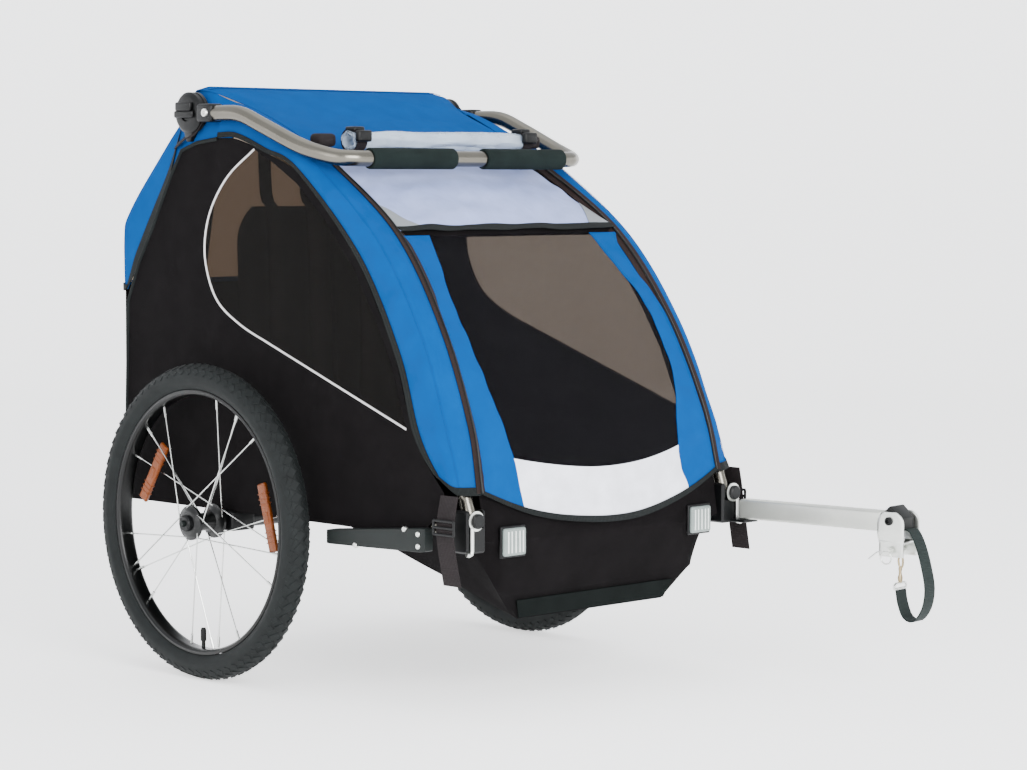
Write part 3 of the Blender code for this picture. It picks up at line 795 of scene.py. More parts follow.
class Workshop:
    """Turns finished shapes into pieces of the scene, from the frame that it loads."""

    def __init__(self) -> None:
        """Loads the frame and finds where its axle and tow arm are."""
        self.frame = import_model()
        self.joints = {j["name"]: j for j in self.frame["record"]["behaviour"]["joints"]}
        wheel = Vector(self.joints["wheel_spin_right"]["pos_m"])
        self.datum = Matrix.Translation((0, wheel.y, 0))
        self.axle = Vector((-wheel.x, 0, wheel.z))
        pivot = self.datum.inverted() @ Vector(self.joints["tow_arm_swing"]["pos_m"])
        aim = self.joints["hitch_flex"]["axis"]
        self.tow = Matrix.Translation(pivot) @ Matrix.Rotation(math.atan2(aim[1], aim[0]), 4, "Z")

    def dress(self, node: str, finish: Finish) -> None:
        """Gives a frame node a better material."""
        obj = self.frame["nodes"][node]
        for slot in obj.material_slots:
            slot.material = finish.material()

    def put(
        self,
        bm: BMesh,
        name: str,
        body: Body | str,
        finish: Finish,
        replaces: Sequence[str] = (),
        thickness: float = 0.0,
        frame: Matrix | None = None,
        held: str = "stretched",
    ) -> bpy.types.Object:
        """Makes a shape into a piece.

        Args:
            bm: The shape.
            name: The piece's name.
            body: The body it rides on.
            finish: What it is made of.
            replaces: The frame nodes it stands for.
            thickness: The wall to give an open sheet.
            frame: Where the shape's own frame is, if it isn't the trailer's.
            held: What holds the cloth, if it is a sheet of cloth.

        Returns:
            The piece's object.
        """
        cut = cut_size(bm) if thickness and (finish.cloth or held != "stretched") else None
        if thickness:
            bmesh.ops.recalc_face_normals(bm, faces=bm.faces)
            bmesh.ops.solidify(bm, geom=bm.faces[:], thickness=thickness)
        bmesh.ops.recalc_face_normals(bm, faces=bm.faces)
        moved(bm, self.datum @ (frame or Matrix()))
        for face in bm.faces:
            face.smooth = True
        for edge in bm.edges:
            edge.smooth = edge.calc_face_angle(0) < SHARP_ANGLE
        mesh = bpy.data.meshes.new(name)
        bm.to_mesh(mesh)
        bm.free()
        mesh.materials.append(finish.material())
        obj = bpy.data.objects.new(name, mesh)
        bpy.context.scene.collection.objects.link(obj)
        if body is Body.SIDES:
            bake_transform(obj)
        else:
            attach(obj, body.value if isinstance(body, Body) else body)
        if replaces:
            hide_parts(*replaces)
        LOG.info("%s: %d faces", name, len(mesh.polygons))
        return obj


@dataclass
class Wheel:
    """A 20-inch wheel: tyre, rim, laced spokes, hub, valve and two amber reflectors."""

    shop: Workshop
    side: Side
    radius: float = 0.248
    section: float = 0.0225
    rim_hole: float = 0.1996
    spokes_each_side: int = 10
    tread_blocks: int = 80

    @property
    def body(self) -> str:
        """The wheel's body."""
        return f"wheel_{self.side.tag}"

    @property
    def centre(self) -> Matrix:
        """The wheel's centre, with X pointing outwards."""
        axle = self.shop.axle
        turn = spin(180, "Z") if self.side is Side.RIGHT else Matrix()
        return at(self.side.value * axle.x, 0, axle.z) @ turn

    def tyre(self) -> None:
        """The hollow casing with its bead, sidewall lines and tread."""
        middle = self.radius - self.section
        bead = math.radians(140)
        wall = self.section - 0.0009
        outer = [(bead * (1 - 2 * i / 28), wall) for i in range(29)]
        outer = [(a, s + (0.0008 if 1.62 < abs(a) < 1.8 else 0.0)) for a, s in outer]
        inner = [(bead * (-1 + 2 * i / 20), self.section - 0.0034) for i in range(21)]
        profile = [(middle + s * math.cos(a), s * math.sin(a)) for a, s in outer + inner]
        shape = turned(profile, 120)
        rows = ((-1.0, 0.55, 0.008), (-0.36, -0.85, 0.015), (0.36, 0.85, 0.015), (1.0, -0.55, 0.008))
        blocks = []
        for row, (angle, lean, long) in enumerate(rows):
            for i in range(self.tread_blocks):
                step = math.tau * (i + 0.5 * (row % 2)) / self.tread_blocks
                place = (
                    Matrix.Rotation(step, 4, "X")
                    @ at(0, 0, middle)
                    @ Matrix.Rotation(angle, 4, "Y")
                    @ at(0, 0, wall)
                    @ Matrix.Rotation(lean, 4, "Z")
                )
                low = (-long / 2, -0.0056, -0.0012)
                blocks.append(moved(block(low, (long / 2, 0.0056, 0.0006), 0.0004, 1), place))
        name = f"tyre_tread_{self.side.tag}"
        self.shop.put(together(shape, *blocks), name, self.body, RUBBER, [f"tyre_{self.side.tag}"], frame=self.centre)

    def rim(self) -> None:
        """The black box-section rim."""
        hole = self.rim_hole
        half = [(0.0078, 0.015), (0.0086, 0.0145), (0.0086, 0.0126), (0.004, 0.0112), (0.003, 0.007)]
        face = [(0.0042, 0.0152), (0.002, 0.0132), (0.0004, 0.0098), (0.0, 0.006)]
        outside = [(hole + r, a) for r, a in half]
        inside = [(hole + r, a) for r, a in face]
        mirrored = [(r, -a) for r, a in reversed(outside)]
        mirrored_inside = [(r, -a) for r, a in inside]
        profile = outside + mirrored + mirrored_inside + list(reversed(inside))
        self.shop.put(
            turned(profile, 120),
            f"rim_hoop_{self.side.tag}",
            self.body,
            ANODISED,
            [f"rim_{self.side.tag}"],
            frame=self.centre,
        )

    def hub(self) -> None:
        """The hub shell, with a dished cap on its outer end."""
        profile = [
            (0.0068, 0.03), (0.017, 0.03), (0.0215, 0.029), (0.0245, 0.0262), (0.0272, 0.0255), (0.0272, 0.021),
            (0.02, 0.0196), (0.015, 0.015), (0.014, 0.0), (0.015, -0.015), (0.02, -0.0196), (0.0272, -0.021),
            (0.0272, -0.0255), (0.016, -0.0262), (0.012, -0.0295), (0.0068, -0.0295),
        ]
        self.shop.put(
            turned(profile, 48), f"hub_shell_{self.side.tag}", self.body, ANODISED, frame=self.centre
        )

    def spokes(self) -> None:
        """Spokes that lean forwards and backwards in pairs, with their nipples at the rim."""
        shapes = []
        count = self.spokes_each_side
        for flange in (-1, 1):
            for i in range(count):
                lean = 1 if i % 2 else -1
                start = math.tau * (i + 0.5 * (flange > 0)) / count
                end = start + lean * math.radians(62)
                hub = Vector((flange * (0.023 + 0.0024 * lean), 0.024 * math.sin(start), 0.024 * math.cos(start)))
                rim = Vector((flange * 0.0022, 0.1985 * math.sin(end), 0.1985 * math.cos(end)))
                shapes.append(sweep([hub, rim], 0.00105, 8))
                shapes.append(sweep([rim.lerp(hub, 0.09), rim.lerp(hub, 0.08), rim], 0.0021, 8))
        name = f"spokes_{self.side.tag}"
        self.shop.put(together(*shapes), name, self.body, WIRE, [f"spoked_hub_{self.side.tag}"], frame=self.centre)

    def valve(self) -> None:
        """The valve stem and its cap, which point at the hub from the bottom of the rim."""
        profile = [(0.0, 0.0), (0.0031, 0.0), (0.0031, 0.012), (0.0046, 0.0125), (0.0046, 0.029)]
        profile += [(0.0034, 0.033), (0.0, 0.033)]
        turn = spin(-90, "Y")
        self.shop.put(
            moved(turned(profile, 20, closed=False), at(0, 0, -self.rim_hole - 0.001) @ turn),
            f"valve_{self.side.tag}",
            self.body,
            URETHANE,
            frame=self.centre,
        )

    def reflectors(self) -> None:
        """The amber reflectors, each clipped across the spokes."""
        for place in ("upper", "front"):
            node = f"wheel_reflector_{place}_{self.side.tag}"
            low, high = (Vector(c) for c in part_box(node))
            middle = self.shop.datum.inverted() @ ((low + high) / 2)
            aim = middle - (self.side.value * self.shop.axle.x * Vector((1, 0, 0)) + Vector((0, 0, self.shop.axle.z)))
            tilt = math.radians(-9 if place == "front" else 4)
            lie = Matrix.Rotation(math.atan2(aim.z, aim.y) + tilt, 4, "X")
            lens = block((-0.0035, -0.0135, -0.054), (0.0035, 0.0135, 0.054), 0.0032, 4)
            for vert in lens.verts:
                vert.co.y *= 1 - 0.3 * (abs(vert.co.z) > 0.045)
            ribs = [
                block((-0.0043, -0.01, z - 0.0008), (0.0043, 0.01, z + 0.0008), 0.0004, 1)
                for z in (-0.038, -0.03, -0.022, 0.022, 0.03, 0.038)
            ]
            clip = block((-0.0048, -0.005, -0.009), (0.0048, 0.005, 0.009), 0.0015)
            frame = Matrix.Translation(middle) @ lie
            lens = together(lens, *ribs)
            self.shop.put(lens, f"amber_{place}_{self.side.tag}", self.body, AMBER, [node], frame=frame)
            self.shop.put(clip, f"amber_clip_{place}_{self.side.tag}", self.body, AMBER, frame=frame)

    def axle_cap(self) -> None:
        """Dresses the axle pin's cap and its release button."""
        self.shop.dress(f"axle_pin_{self.side.tag}", NYLON)
        self.shop.dress(f"release_button_{self.side.tag}", GUARD)

    def build(self) -> None:
        """Makes the wheel."""
        self.tyre()
        self.rim()
        self.hub()
        self.spokes()
        self.valve()
        self.reflectors()
        self.axle_cap()


@dataclass
class Chassis:
    """The base frame, the fabric floor with its skirt, the bench, and the front corners."""

    shop: Workshop
    rail_x: float = 0.288
    rail_z: float = 0.2773
    front: float = -0.532
    rear: float = 0.262
    strap_width: float = 0.036

    def tubes(self) -> None:
        """The rails and cross tubes, and the axle beam."""
        for side in Side:
            x = side.value * self.rail_x
            path = [(x, self.front + 0.0273, self.rail_z), (x, self.rear + 0.01, self.rail_z)]
            name = f"side_rail_tube_{side.tag}"
            self.shop.put(sweep(path, RAIL_RADIUS), name, Body.CHASSIS, TUBE, [f"side_rail_{side.tag}"])
        inner = self.rail_x - 0.0128
        crosses = (("front", 0.2577, -0.518, 0.273), ("rear", inner, self.rear, self.rail_z))
        for name, half, y, z in crosses:
            path = [(-half, y, z), (half, y, z)]
            self.shop.put(sweep(path, TUBE_RADIUS), f"{name}_tube", Body.CHASSIS, TUBE, [f"{name}_cross_tube"])
        axle = self.shop.axle.z
        profile = [(0.007, 0.318), (0.0165, 0.318), (0.0165, 0.262), (0.015, 0.258), (0.015, -0.258)]
        profile += [(0.0165, -0.262), (0.0165, -0.318), (0.007, -0.318)]
        beam = moved(turned(profile, 40), at(0, 0, axle))
        self.shop.put(beam, "axle_tube", Body.CHASSIS, NYLON, ["axle_beam"])
        for side in Side:
            x = side.value
            low, high = sorted((x * 0.27, x * 0.3165))
            saddle = block((low, -0.03, 0.232), (high, 0.03, 0.263), 0.004)
            self.shop.put(saddle, f"axle_saddle_{side.tag}", Body.CHASSIS, NYLON)

    floor = (
        ((0.2545, -0.5365, 0.3), (0.215, -0.5385, 0.3)), ((0.253, -0.538, 0.2575), (0.213, -0.5415, 0.253)),
        ((0.2545, -0.505, 0.2575), (0.208, -0.52, 0.175)), ((0.255, -0.44, 0.2575), (0.162, -0.507, 0.1315)),
        ((0.256, -0.36, 0.259), (0.2, -0.4, 0.185)), ((0.258, -0.28, 0.264), (0.243, -0.29, 0.24)),
        ((0.26, -0.18, 0.272), (0.252, -0.18, 0.268)), ((0.26, 0.248, 0.272), (0.252, 0.248, 0.268)),
    )

    def floor_point(self, u: float, v: float) -> Vector:
        """The floor's surface: the bed between its corners, then up to the rim at each side."""
        span = min(max(v, 0.0), 1.0) * (len(self.floor) - 1)
        i = min(int(span), len(self.floor) - 2)
        s = span - i
        rim, bed = (Vector(self.floor[i][k]).lerp(Vector(self.floor[i + 1][k]), s) for k in (0, 1))
        across = 2 * u - 1
        edge = 0.72
        share = max(0.0, (abs(across) - edge) / (1 - edge))
        point = bed.lerp(rim, share)
        if abs(across) < edge:
            point.x = bed.x * abs(across) / edge
        point.x = math.copysign(point.x, across)
        sag = 0.003 * math.sin(math.pi * s) * (1 - across**2)
        point.z -= sag * (v > 0.45)
        tuck = max(0.0, 1 - v * 7) * across**4
        point += Vector((0, 0.011, 0.034)) * tuck
        point.y += 0.0022 * ripple(point, 0.07) * (v < 0.3)
        return point

    def tub(self) -> None:
        """The black fabric floor and skirt, with the scuff guard sewn along its lower edge."""
        skin = sheet(60, 84, self.floor_point)
        self.shop.put(skin, "floor_and_skirt", Body.CHASSIS, BLACK, ["floor_tub"], thickness=CLOTH)

        def guard(u: float, v: float) -> Vector:
            half = 0.158 + 0.012 * v
            return Vector(((2 * u - 1) * half, -0.5108 - 0.0086 * v, 0.132 + 0.028 * v))

        patch = sheet(30, 6, guard)
        self.shop.put(patch, "scuff_patch", Body.CHASSIS, SCUFF, ["scuff_guard"], thickness=CLOTH)

    def reflectors(self) -> None:
        """The clear reflectors on the skirt, each in its black frame."""
        for side in Side:
            x = side.value * 0.203
            lens = block((x - 0.0225, -0.5525, 0.2325), (x + 0.0225, -0.545, 0.2735), 0.0035)
            fins = [
                block((x + dx - 0.0012, -0.5535, 0.237), (x + dx + 0.0012, -0.552, 0.269), 0.0004, 1)
                for dx in (-0.015, -0.008, 0.0, 0.008, 0.015)
            ]
            name = f"clear_reflector_{side.tag}"
            self.shop.put(lens, name, Body.CHASSIS, CLEAR, [f"front_reflector_{side.tag}"])
            # The fins are the lens's acrylic painted brighter: a painted highlight
            self.shop.put(together(*fins), f"reflector_ribs_{side.tag}", Body.CHASSIS, RIB_HIGHLIGHT)
            rim = block((x - 0.0255, -0.5472, 0.2295), (x + 0.0255, -0.543, 0.2765), 0.002)
            self.shop.put(rim, f"reflector_frame_{side.tag}", Body.CHASSIS, NYLON)

    def bench(self) -> None:
        """The padded bench, with crowned faces and rounded edges."""
        shape = block((-0.203, -0.158, 0.302), (0.203, 0.098, 0.334), 0.012, 4)
        bmesh.ops.subdivide_edges(
            shape, edges=[e for e in shape.edges if e.calc_length() > 0.1], cuts=9, use_grid_fill=True
        )
        for vert in shape.verts:
            crown = (1 - (vert.co.x / 0.203) ** 2) * (1 - ((vert.co.y + 0.03) / 0.128) ** 2)
            vert.co.z += 0.005 * crown * (1 if vert.co.z > 0.318 else -0.4)
        piece = self.shop.put(shape, "bench_pad", Body.CHASSIS, BLACK, ["seat_base"])

    def guards(self) -> None:
        """The beams ahead of the wheels, each with its bolts."""
        for side in Side:
            s = side.value
            shape = block((-0.5, -0.5, -0.5), (0.5, 0.5, 0.5), 0.06)
            for vert in shape.verts:
                ahead = 0.5 - vert.co.y
                low, high = 0.235 + 0.006 * ahead, 0.257 + 0.02 * ahead
                vert.co = Vector(
                    (
                        s * (0.3135 + 0.018 * vert.co.x),
                        -0.264 - 0.22 * ahead,
                        low + (high - low) * (vert.co.z + 0.5),
                    )
                )
            name = f"guard_beam_{side.tag}"
            self.shop.put(shape, name, Body.CHASSIS, GUARD, [f"wheel_guard_{side.tag}"])
            spots = ((-0.47, 0.267), (-0.47, 0.249), (-0.44, 0.272), (-0.33, 0.2385))
            head = [(0, 0.003), (0.0036, 0.0024), (0.0046, 0.0), (0.0046, -0.003), (0, -0.003)]
            bolts = [moved(turned(head, 16, False), at(s * 0.3215, y, z) @ mirror(s)) for y, z in spots]
            self.shop.put(together(*bolts), f"guard_bolts_{side.tag}", Body.CHASSIS, ZINC)

    def corners(self) -> None:
        """The front corner brackets, with their pivot knobs and the small lever under each."""
        for side in Side:
            s = side.value
            self.shop.dress(f"corner_bracket_{side.tag}", NYLON)
            knob = moved(
                turned([(0, 0.0095), (0.009, 0.0095), (0.0112, 0.0075), (0.0112, 0.0), (0, 0.0)], 28, False),
                at(s * 0.28, -0.5475, 0.2895) @ spin(-90, "Z"),
            )
            self.shop.put(knob, f"pivot_knob_{side.tag}", Body.CHASSIS, NYLON)
            washer = moved(
                turned([(0.0105, 0.0018), (0.0148, 0.0012), (0.0148, -0.0012), (0.0105, -0.0018)], 32),
                at(s * 0.28, -0.549, 0.2895) @ spin(90, "Z"),
            )
            self.shop.put(washer, f"pivot_washer_{side.tag}", Body.CHASSIS, ZINC)
            bends = [(0.289, 0.28), (0.289, 0.247), (0.2905, 0.242), (0.295, 0.2405), (0.3, 0.242)]
            rod = sweep([(s * x, -0.55, z) for x, z in bends], 0.003, 14)
            self.shop.put(rod, f"corner_rod_{side.tag}", Body.CHASSIS, ZINC)

    def straps(self) -> None:
        """The corner straps that pull the hem down, with their buckles and hanging tails."""
        for side in Side:
            s = side.value
            line = [(0.3065, -0.52, 0.326), (0.3125, -0.52, 0.3), (0.3155, -0.52, 0.28)]
            line += [(0.3168, -0.524, 0.25), (0.315, -0.535, 0.196)]
            path = [Vector((s * x, y, z)) for x, y, z in line]
            strap = ribbon(path, Vector((0, 1, 0)), self.strap_width, 4)
            name = f"hem_strap_{side.tag}"
            node = f"corner_strap_{side.tag}"
            self.shop.put(strap, name, Body.CHASSIS, STRAP_WEB, [node], thickness=WEB_WALL, held="hung")
            x = s * 0.3175
            loop = [(x, -0.5415, 0.27), (x, -0.5415, 0.29), (x, -0.4985, 0.29), (x, -0.4985, 0.27)]
            loop.append(loop[0])
            bars = [sweep([a, b], 0.0022, 12) for a, b in zip(loop, loop[1:])]
            bars.append(sweep([(x, -0.5415, 0.28), (x, -0.4985, 0.28)], 0.0022, 12))
            self.shop.put(together(*bars), f"hem_buckle_{side.tag}", Body.CHASSIS, NYLON)

    def build(self) -> None:
        """Makes the chassis."""
        self.tubes()
        self.tub()
        self.reflectors()
        self.bench()
        self.guards()
        self.corners()
        self.straps()


@dataclass
class RearFrame:
    """The rear upright tube and the padded seat back with its harness."""

    shop: Workshop
    half_width: float = 0.198

    def upright(self) -> None:
        """The bent tube."""
        x, bend = 0.222, 0.055
        top = Vector((0, 0.118, 0.886))
        foot = Vector((0, 0.24, 0.292))
        lean = (foot - top).normalized()
        corner = [
            Vector((x, 0, 0)) + top + lean * bend * 1.4,
            Vector((x - bend * 0.29, 0, 0)) + top + lean * bend * 0.29,
            Vector((x - bend * 1.4, 0, 0)) + top,
        ]
        half = [Vector((x, 0, 0)) + foot, *smooth_route(corner, 8), top]
        other = [Vector((-p.x, p.y, p.z)) for p in reversed(half[:-1])]
        self.shop.put(sweep(half + other, TUBE_RADIUS), "upright_tube", Body.REAR_FRAME, TUBE, ["rear_upright"])

    def back(self) -> None:
        """The seat back: a padded sling in two halves, with a seam between them."""

        def at_back(front: bool) -> Place:
            def place(u: float, v: float) -> Vector:
                across = 2 * u - 1
                swell = 0.009 * (1 - (2 * abs(across) - 1) ** 8) * (1 - (2 * v - 1) ** 8) ** 0.5
                middle = 0.092 + 0.01 * v
                y = middle - swell if front else middle + swell * 0.6
                half = self.half_width * (1 - 0.16 * max(0.0, (v - 0.84) / 0.16) ** 2.4)
                return Vector((across * half, y, 0.345 + 0.395 * v))

            return place

        shape = together(sheet(40, 40, at_back(True)), sheet(40, 40, at_back(False)))
        bmesh.ops.remove_doubles(shape, verts=shape.verts, dist=0.0004)
        piece = self.shop.put(shape, "seat_back_pad", Body.REAR_FRAME, BLACK, ["seat_back"])
        for side in Side:
            for inner in (0.055, 0.14):
                x = side.value * inner
                path = [Vector((x, 0.078, 0.36)), Vector((x, 0.072, 0.52)), Vector((x, 0.08, 0.72))]
                path += [Vector((x, 0.098, 0.76)), Vector((x, 0.104, 0.884))]
                strap = ribbon(path, Vector((1, 0, 0)), 0.025)
                name = f"harness_{side.tag}_{round(inner * 1000)}"
                self.shop.put(strap, name, Body.REAR_FRAME, STRAP_WEB, thickness=WEB_WALL)

    def build(self) -> None:
        """Makes the rear frame."""
        self.upright()
        self.back()


@dataclass
class Canopy:
    """The folding hoops and hubs with all the cloth that they carry, except the front cover."""

    shop: Workshop

    sleeve = (
        ((0.2575, -0.533, 0.3265), (0.303, -0.536, 0.327), (0.303, -0.509, 0.331)),
        ((0.253, -0.508, 0.425), (0.2985, -0.514, 0.428), (0.297, -0.44, 0.405)),
        ((0.246, -0.439, 0.566), (0.292, -0.447, 0.573), (0.2915, -0.392, 0.522)),
        ((0.2355, -0.331, 0.701), (0.285, -0.336, 0.709), (0.2855, -0.298, 0.666)),
        ((0.2255, -0.172, 0.805), (0.274, -0.168, 0.824), (0.2795, -0.15, 0.797)),
        ((0.227, -0.077, 0.856), (0.267, -0.075, 0.87), (0.278, -0.07, 0.827)),
        ((0.232, 0.000, 0.889), (0.269, 0.000, 0.898), (0.277, 0.000, 0.85)),
        ((0.237, 0.046, 0.904), (0.27, 0.046, 0.904), (0.277, 0.048, 0.851)),
    )
    roof = (
        ((0.196, -0.158, 0.812), (0.2225, -0.158, 0.811)), ((0.198, -0.075, 0.86), (0.2235, -0.075, 0.858)),
        ((0.202, 0.02, 0.899), (0.227, 0.02, 0.896)), ((0.236, 0.103, 0.93), (0.257, 0.103, 0.926)),
        ((0.242, 0.134, 0.922), (0.256, 0.146, 0.909)), ((0.262, 0.205, 0.838), (0.28, 0.172, 0.787)),
        ((0.274, 0.286, 0.736), (0.2835, 0.219, 0.7)), ((0.279, 0.3, 0.69), (0.286, 0.249, 0.65)),
        ((0.282, 0.291, 0.604), (0.288, 0.276, 0.604)),
    )
    wall_edge = (
        (0.139, 0.83), (0.1, 0.842), (0.048, 0.848), (0.0, 0.847), (-0.07, 0.826), (-0.15, 0.7955),
        (-0.224, 0.737), (-0.296, 0.664), (-0.348, 0.59), (-0.389, 0.521), (-0.437, 0.404), (-0.504, 0.328),
    )
    window_back = (
        (-0.045, 0.831), (0.018, 0.79), (0.058, 0.74), (0.073, 0.689), (0.066, 0.64), (0.035, 0.59),
        (-0.025, 0.555), (-0.096, 0.529),
    )
    window_front = (
        (-0.4185, 0.416), (-0.413, 0.43), (-0.38, 0.512), (-0.34, 0.579), (-0.289, 0.652), (-0.219, 0.723),
        (-0.15, 0.778), (-0.095, 0.808),
    )

    def sleeve_point(self, side: Side) -> Place:
        """One sleeve's surface, from its zip round the hoop to the side."""
        zip_edge, corner, side_edge = zip(*self.sleeve)

        def place(u: float, v: float) -> Vector:
            v += (1 - v) ** 8 * 0.045 * max(0.0, (u - 0.55) / 0.45) ** 2.2
            a, b, c = (on_curve(line, v) for line in (zip_edge, corner, side_edge))
            point = a * (1 - u) ** 2 + b * 2 * u * (1 - u) + c * u**2
            point = Vector((side.value * point.x, point.y, point.z))
            folds = ripple(Vector((point.x * 3 + point.z, point.y * 3 - point.z, point.z * 0.4)), 0.055)
            loose = 0.004 * folds * math.exp(-(((v - 0.07) / 0.1) ** 2)) * math.sin(math.pi * u)
            return point + Vector((side.value * loose, -loose, 0))

        return place

    def sleeves(self) -> None:
        """The blue sleeves over the hoops, bound in black where they meet the side walls."""
        for side in Side:
            place = self.sleeve_point(side)
            out = side.value
            self.shop.put(
                sheet(18, 110, place), f"sleeve_{side.tag}", Body.CANOPY, BLUE, [f"hoop_sleeve_{side.tag}"], CLOTH
            )
            edge = part_of(lifted(place, out * 0.0016), lambda v: 0.93, lambda v: 1.015)
            self.shop.put(sheet(3, 110, edge), f"sleeve_binding_{side.tag}", Body.CANOPY, TAPE, thickness=TAPE_WALL)
            hem = part_of(lifted(place, out * 0.0016), lambda v: 0.0, lambda v: 1.0, -0.004, 0.014)
            self.shop.put(sheet(18, 3, hem), f"sleeve_hem_{side.tag}", Body.CANOPY, TAPE, thickness=TAPE_WALL)
            seam = part_of(lifted(place, out * 0.0012), lambda v: 0.5, lambda v: 0.516, 0.0, 0.6)
            self.shop.put(sheet(1, 90, seam), f"sleeve_seam_{side.tag}", Body.CANOPY, BLUE, thickness=0.0008)

    def zips(self) -> None:
        """The zips beside the front cover: a woven tape with a coil down its middle."""
        for side in Side:
            place = self.sleeve_point(side)
            out = side.value
            tape = part_of(lifted(place, out * 0.0024), lambda v: -0.125, lambda v: 0.095, 0.0, 0.64)
            self.shop.put(sheet(4, 80, tape), f"zip_tape_{side.tag}", Body.CANOPY, ZIP_TAPE, thickness=0.001)
            top = lifted(place, out * 0.004)
            coil = [top(-0.02, 0.64 * i / 110) for i in range(111)]
            self.shop.put(sweep(coil, 0.0017, 8), f"zip_coil_{side.tag}", Body.CANOPY, NYLON)

    def roof_point(self, u: float, v: float) -> Vector:
        """The roof's surface over the ridge and down the back."""
        corners, edges = zip(*self.roof)
        corner, edge = on_curve(corners, v), on_curve(edges, v)
        across = 2 * u - 1
        flat = 0.8
        share = max(0.0, (abs(across) - flat) / (1 - flat))
        point = corner.lerp(edge, share**1.3)
        if abs(across) < flat:
            point.x = corner.x * abs(across) / flat
        sag = 0.008 * (1 - across**2) * math.sin(math.pi * min(v / 0.36, 1.0)) ** 2
        point.z -= sag
        point.y += 0.0025 * ripple(Vector((across, v * 4, 0)), 0.35) * (v > 0.45)
        return Vector((math.copysign(point.x, across), point.y, point.z))

    def top(self) -> None:
        """The blue roof, with the bindings along its side hems and lower hem."""
        self.shop.put(sheet(48, 96, self.roof_point), "roof_cloth", Body.SIDES, BLUE, ["roof_cover"], CLOTH)
        surface = lifted(self.roof_point, 0.0016)
        for side, low, high in ((Side.RIGHT, -0.006, 0.014), (Side.LEFT, 0.986, 1.006)):
            edge = part_of(surface, lambda v, low=low: low, lambda v, high=high: high, 0.5, 1.0)
            self.shop.put(sheet(3, 60, edge), f"roof_binding_{side.tag}", Body.SIDES, TAPE, thickness=TAPE_WALL)
        hem = part_of(surface, lambda v: 0.0, lambda v: 1.0, 0.985, 1.004)
        self.shop.put(sheet(48, 2, hem), "roof_rear_hem", Body.SIDES, TAPE, thickness=TAPE_WALL)
        # The lining's glow is painted light that stands for daylight coming through the roof cloth
        inside = part_of(lifted(self.roof_point, -0.009), lambda v: 0.06, lambda v: 0.94, 0.44, 0.98)
        self.shop.put(sheet(24, 40, inside), "roof_lining", Body.SIDES, PAINTED_GLOW_LINING, thickness=CLOTH)
        ridge = part_of(surface, lambda v: 0.02, lambda v: 0.98, 0.372, 0.38)
        self.shop.put(sheet(48, 2, ridge), "roof_ridge_seam", Body.CANOPY, BLUE, thickness=0.001)

    def wall_place(self, side: Side, lift: float = 0.0) -> Callable[[float, float], Vector]:
        """The leaning plane of a side wall."""

        def place(y: float, z: float) -> Vector:
            return Vector((side.value * (0.302 - 0.045 * (z - 0.3) + lift), y, z))

        return place

    def walls(self) -> None:
        """The black side walls, each with a tinted window, its piping and its binding."""
        edge = flat_line(self.wall_edge, 5)
        foot = [(-0.5, 0.3), (-0.47, 0.276), (-0.42, 0.262), (0.252, 0.262)]
        back = flat_line(((0.262, 0.292), (0.266, 0.42), (0.27, 0.585)), 3)
        rise = [(0.243, 0.65), (0.213, 0.7), (0.167, 0.786)]
        outline = [*edge, *flat_line(foot), *back, *flat_line(rise)]
        rear = flat_line(self.window_back, 5)
        window = rear + flat_line(self.window_front)
        for side in Side:
            wall = flat_panel(outline, window, self.wall_place(side))
            self.shop.put(wall, f"side_wall_{side.tag}", Body.SIDES, BLACK, [f"side_panel_{side.tag}"], CLOTH)
            pane = flat_panel(window, [], self.wall_place(side))
            self.shop.put(pane, f"side_window_{side.tag}", Body.SIDES, FILM, thickness=0.0006)
            outside = self.wall_place(side, 0.001)
            line = [outside(p[0], p[1]) for p in [*rear, self.window_front[0]]]
            self.shop.put(sweep(line, 0.0017, 10), f"window_piping_{side.tag}", Body.SIDES, PIPING)
            tape = [outside(p[0], p[1]) for p in [*back, *rise, *self.wall_edge[:3]]]
            self.shop.put(sweep(tape, 0.0034, 10), f"wall_binding_{side.tag}", Body.SIDES, TAPE)

    def shoulders(self) -> None:
        """The blue gussets behind the hubs, from the roof's edge down to the arch of each wall."""
        arch = [(0.2775, 0.012, 0.849), (0.2775, 0.06, 0.849), (0.278, 0.1, 0.843), (0.2785, 0.137, 0.831)]
        arch += [(0.28, 0.168, 0.786), (0.2835, 0.215, 0.7)]
        eave = [(0.227, 0.012, 0.893), (0.24, 0.06, 0.909), (0.255, 0.103, 0.9245), (0.255, 0.145, 0.907)]
        eave += [(0.279, 0.171, 0.79), (0.283, 0.217, 0.704)]
        for side in Side:

            def place(u: float, v: float, s: int = side.value) -> Vector:
                low, high = on_curve(arch, v), on_curve(eave, v)
                swell = math.sin(math.pi * u) * max(0.0, 1 - 2.2 * v)
                point = low.lerp(high, u) + Vector((0.01, 0, 0.012)) * swell
                return Vector((s * point.x, point.y, point.z))

            self.shop.put(sheet(12, 40, place), f"shoulder_{side.tag}", Body.SIDES, BLUE, thickness=CLOTH)
            edge = part_of(lifted(place, side.value * 0.0018), lambda v: -0.1, lambda v: 0.1)
            self.shop.put(sheet(3, 40, edge), f"shoulder_binding_{side.tag}", Body.SIDES, TAPE, thickness=TAPE_WALL)

    def rear_wall(self) -> None:
        """The black panel under the roof at the back."""

        def place(u: float, v: float) -> Vector:
            half = 0.3034 - 0.0152 * v
            swell = 0.006 * math.sin(math.pi * u) * math.sin(math.pi * v) - 0.008 * abs(2 * u - 1) ** 14
            return Vector(((2 * u - 1) * half, 0.271 + 0.018 * v + swell, 0.262 + 0.349 * v))

        self.shop.put(sheet(40, 30, place), "rear_cloth", Body.SIDES, BLACK, ["rear_panel"], CLOTH)

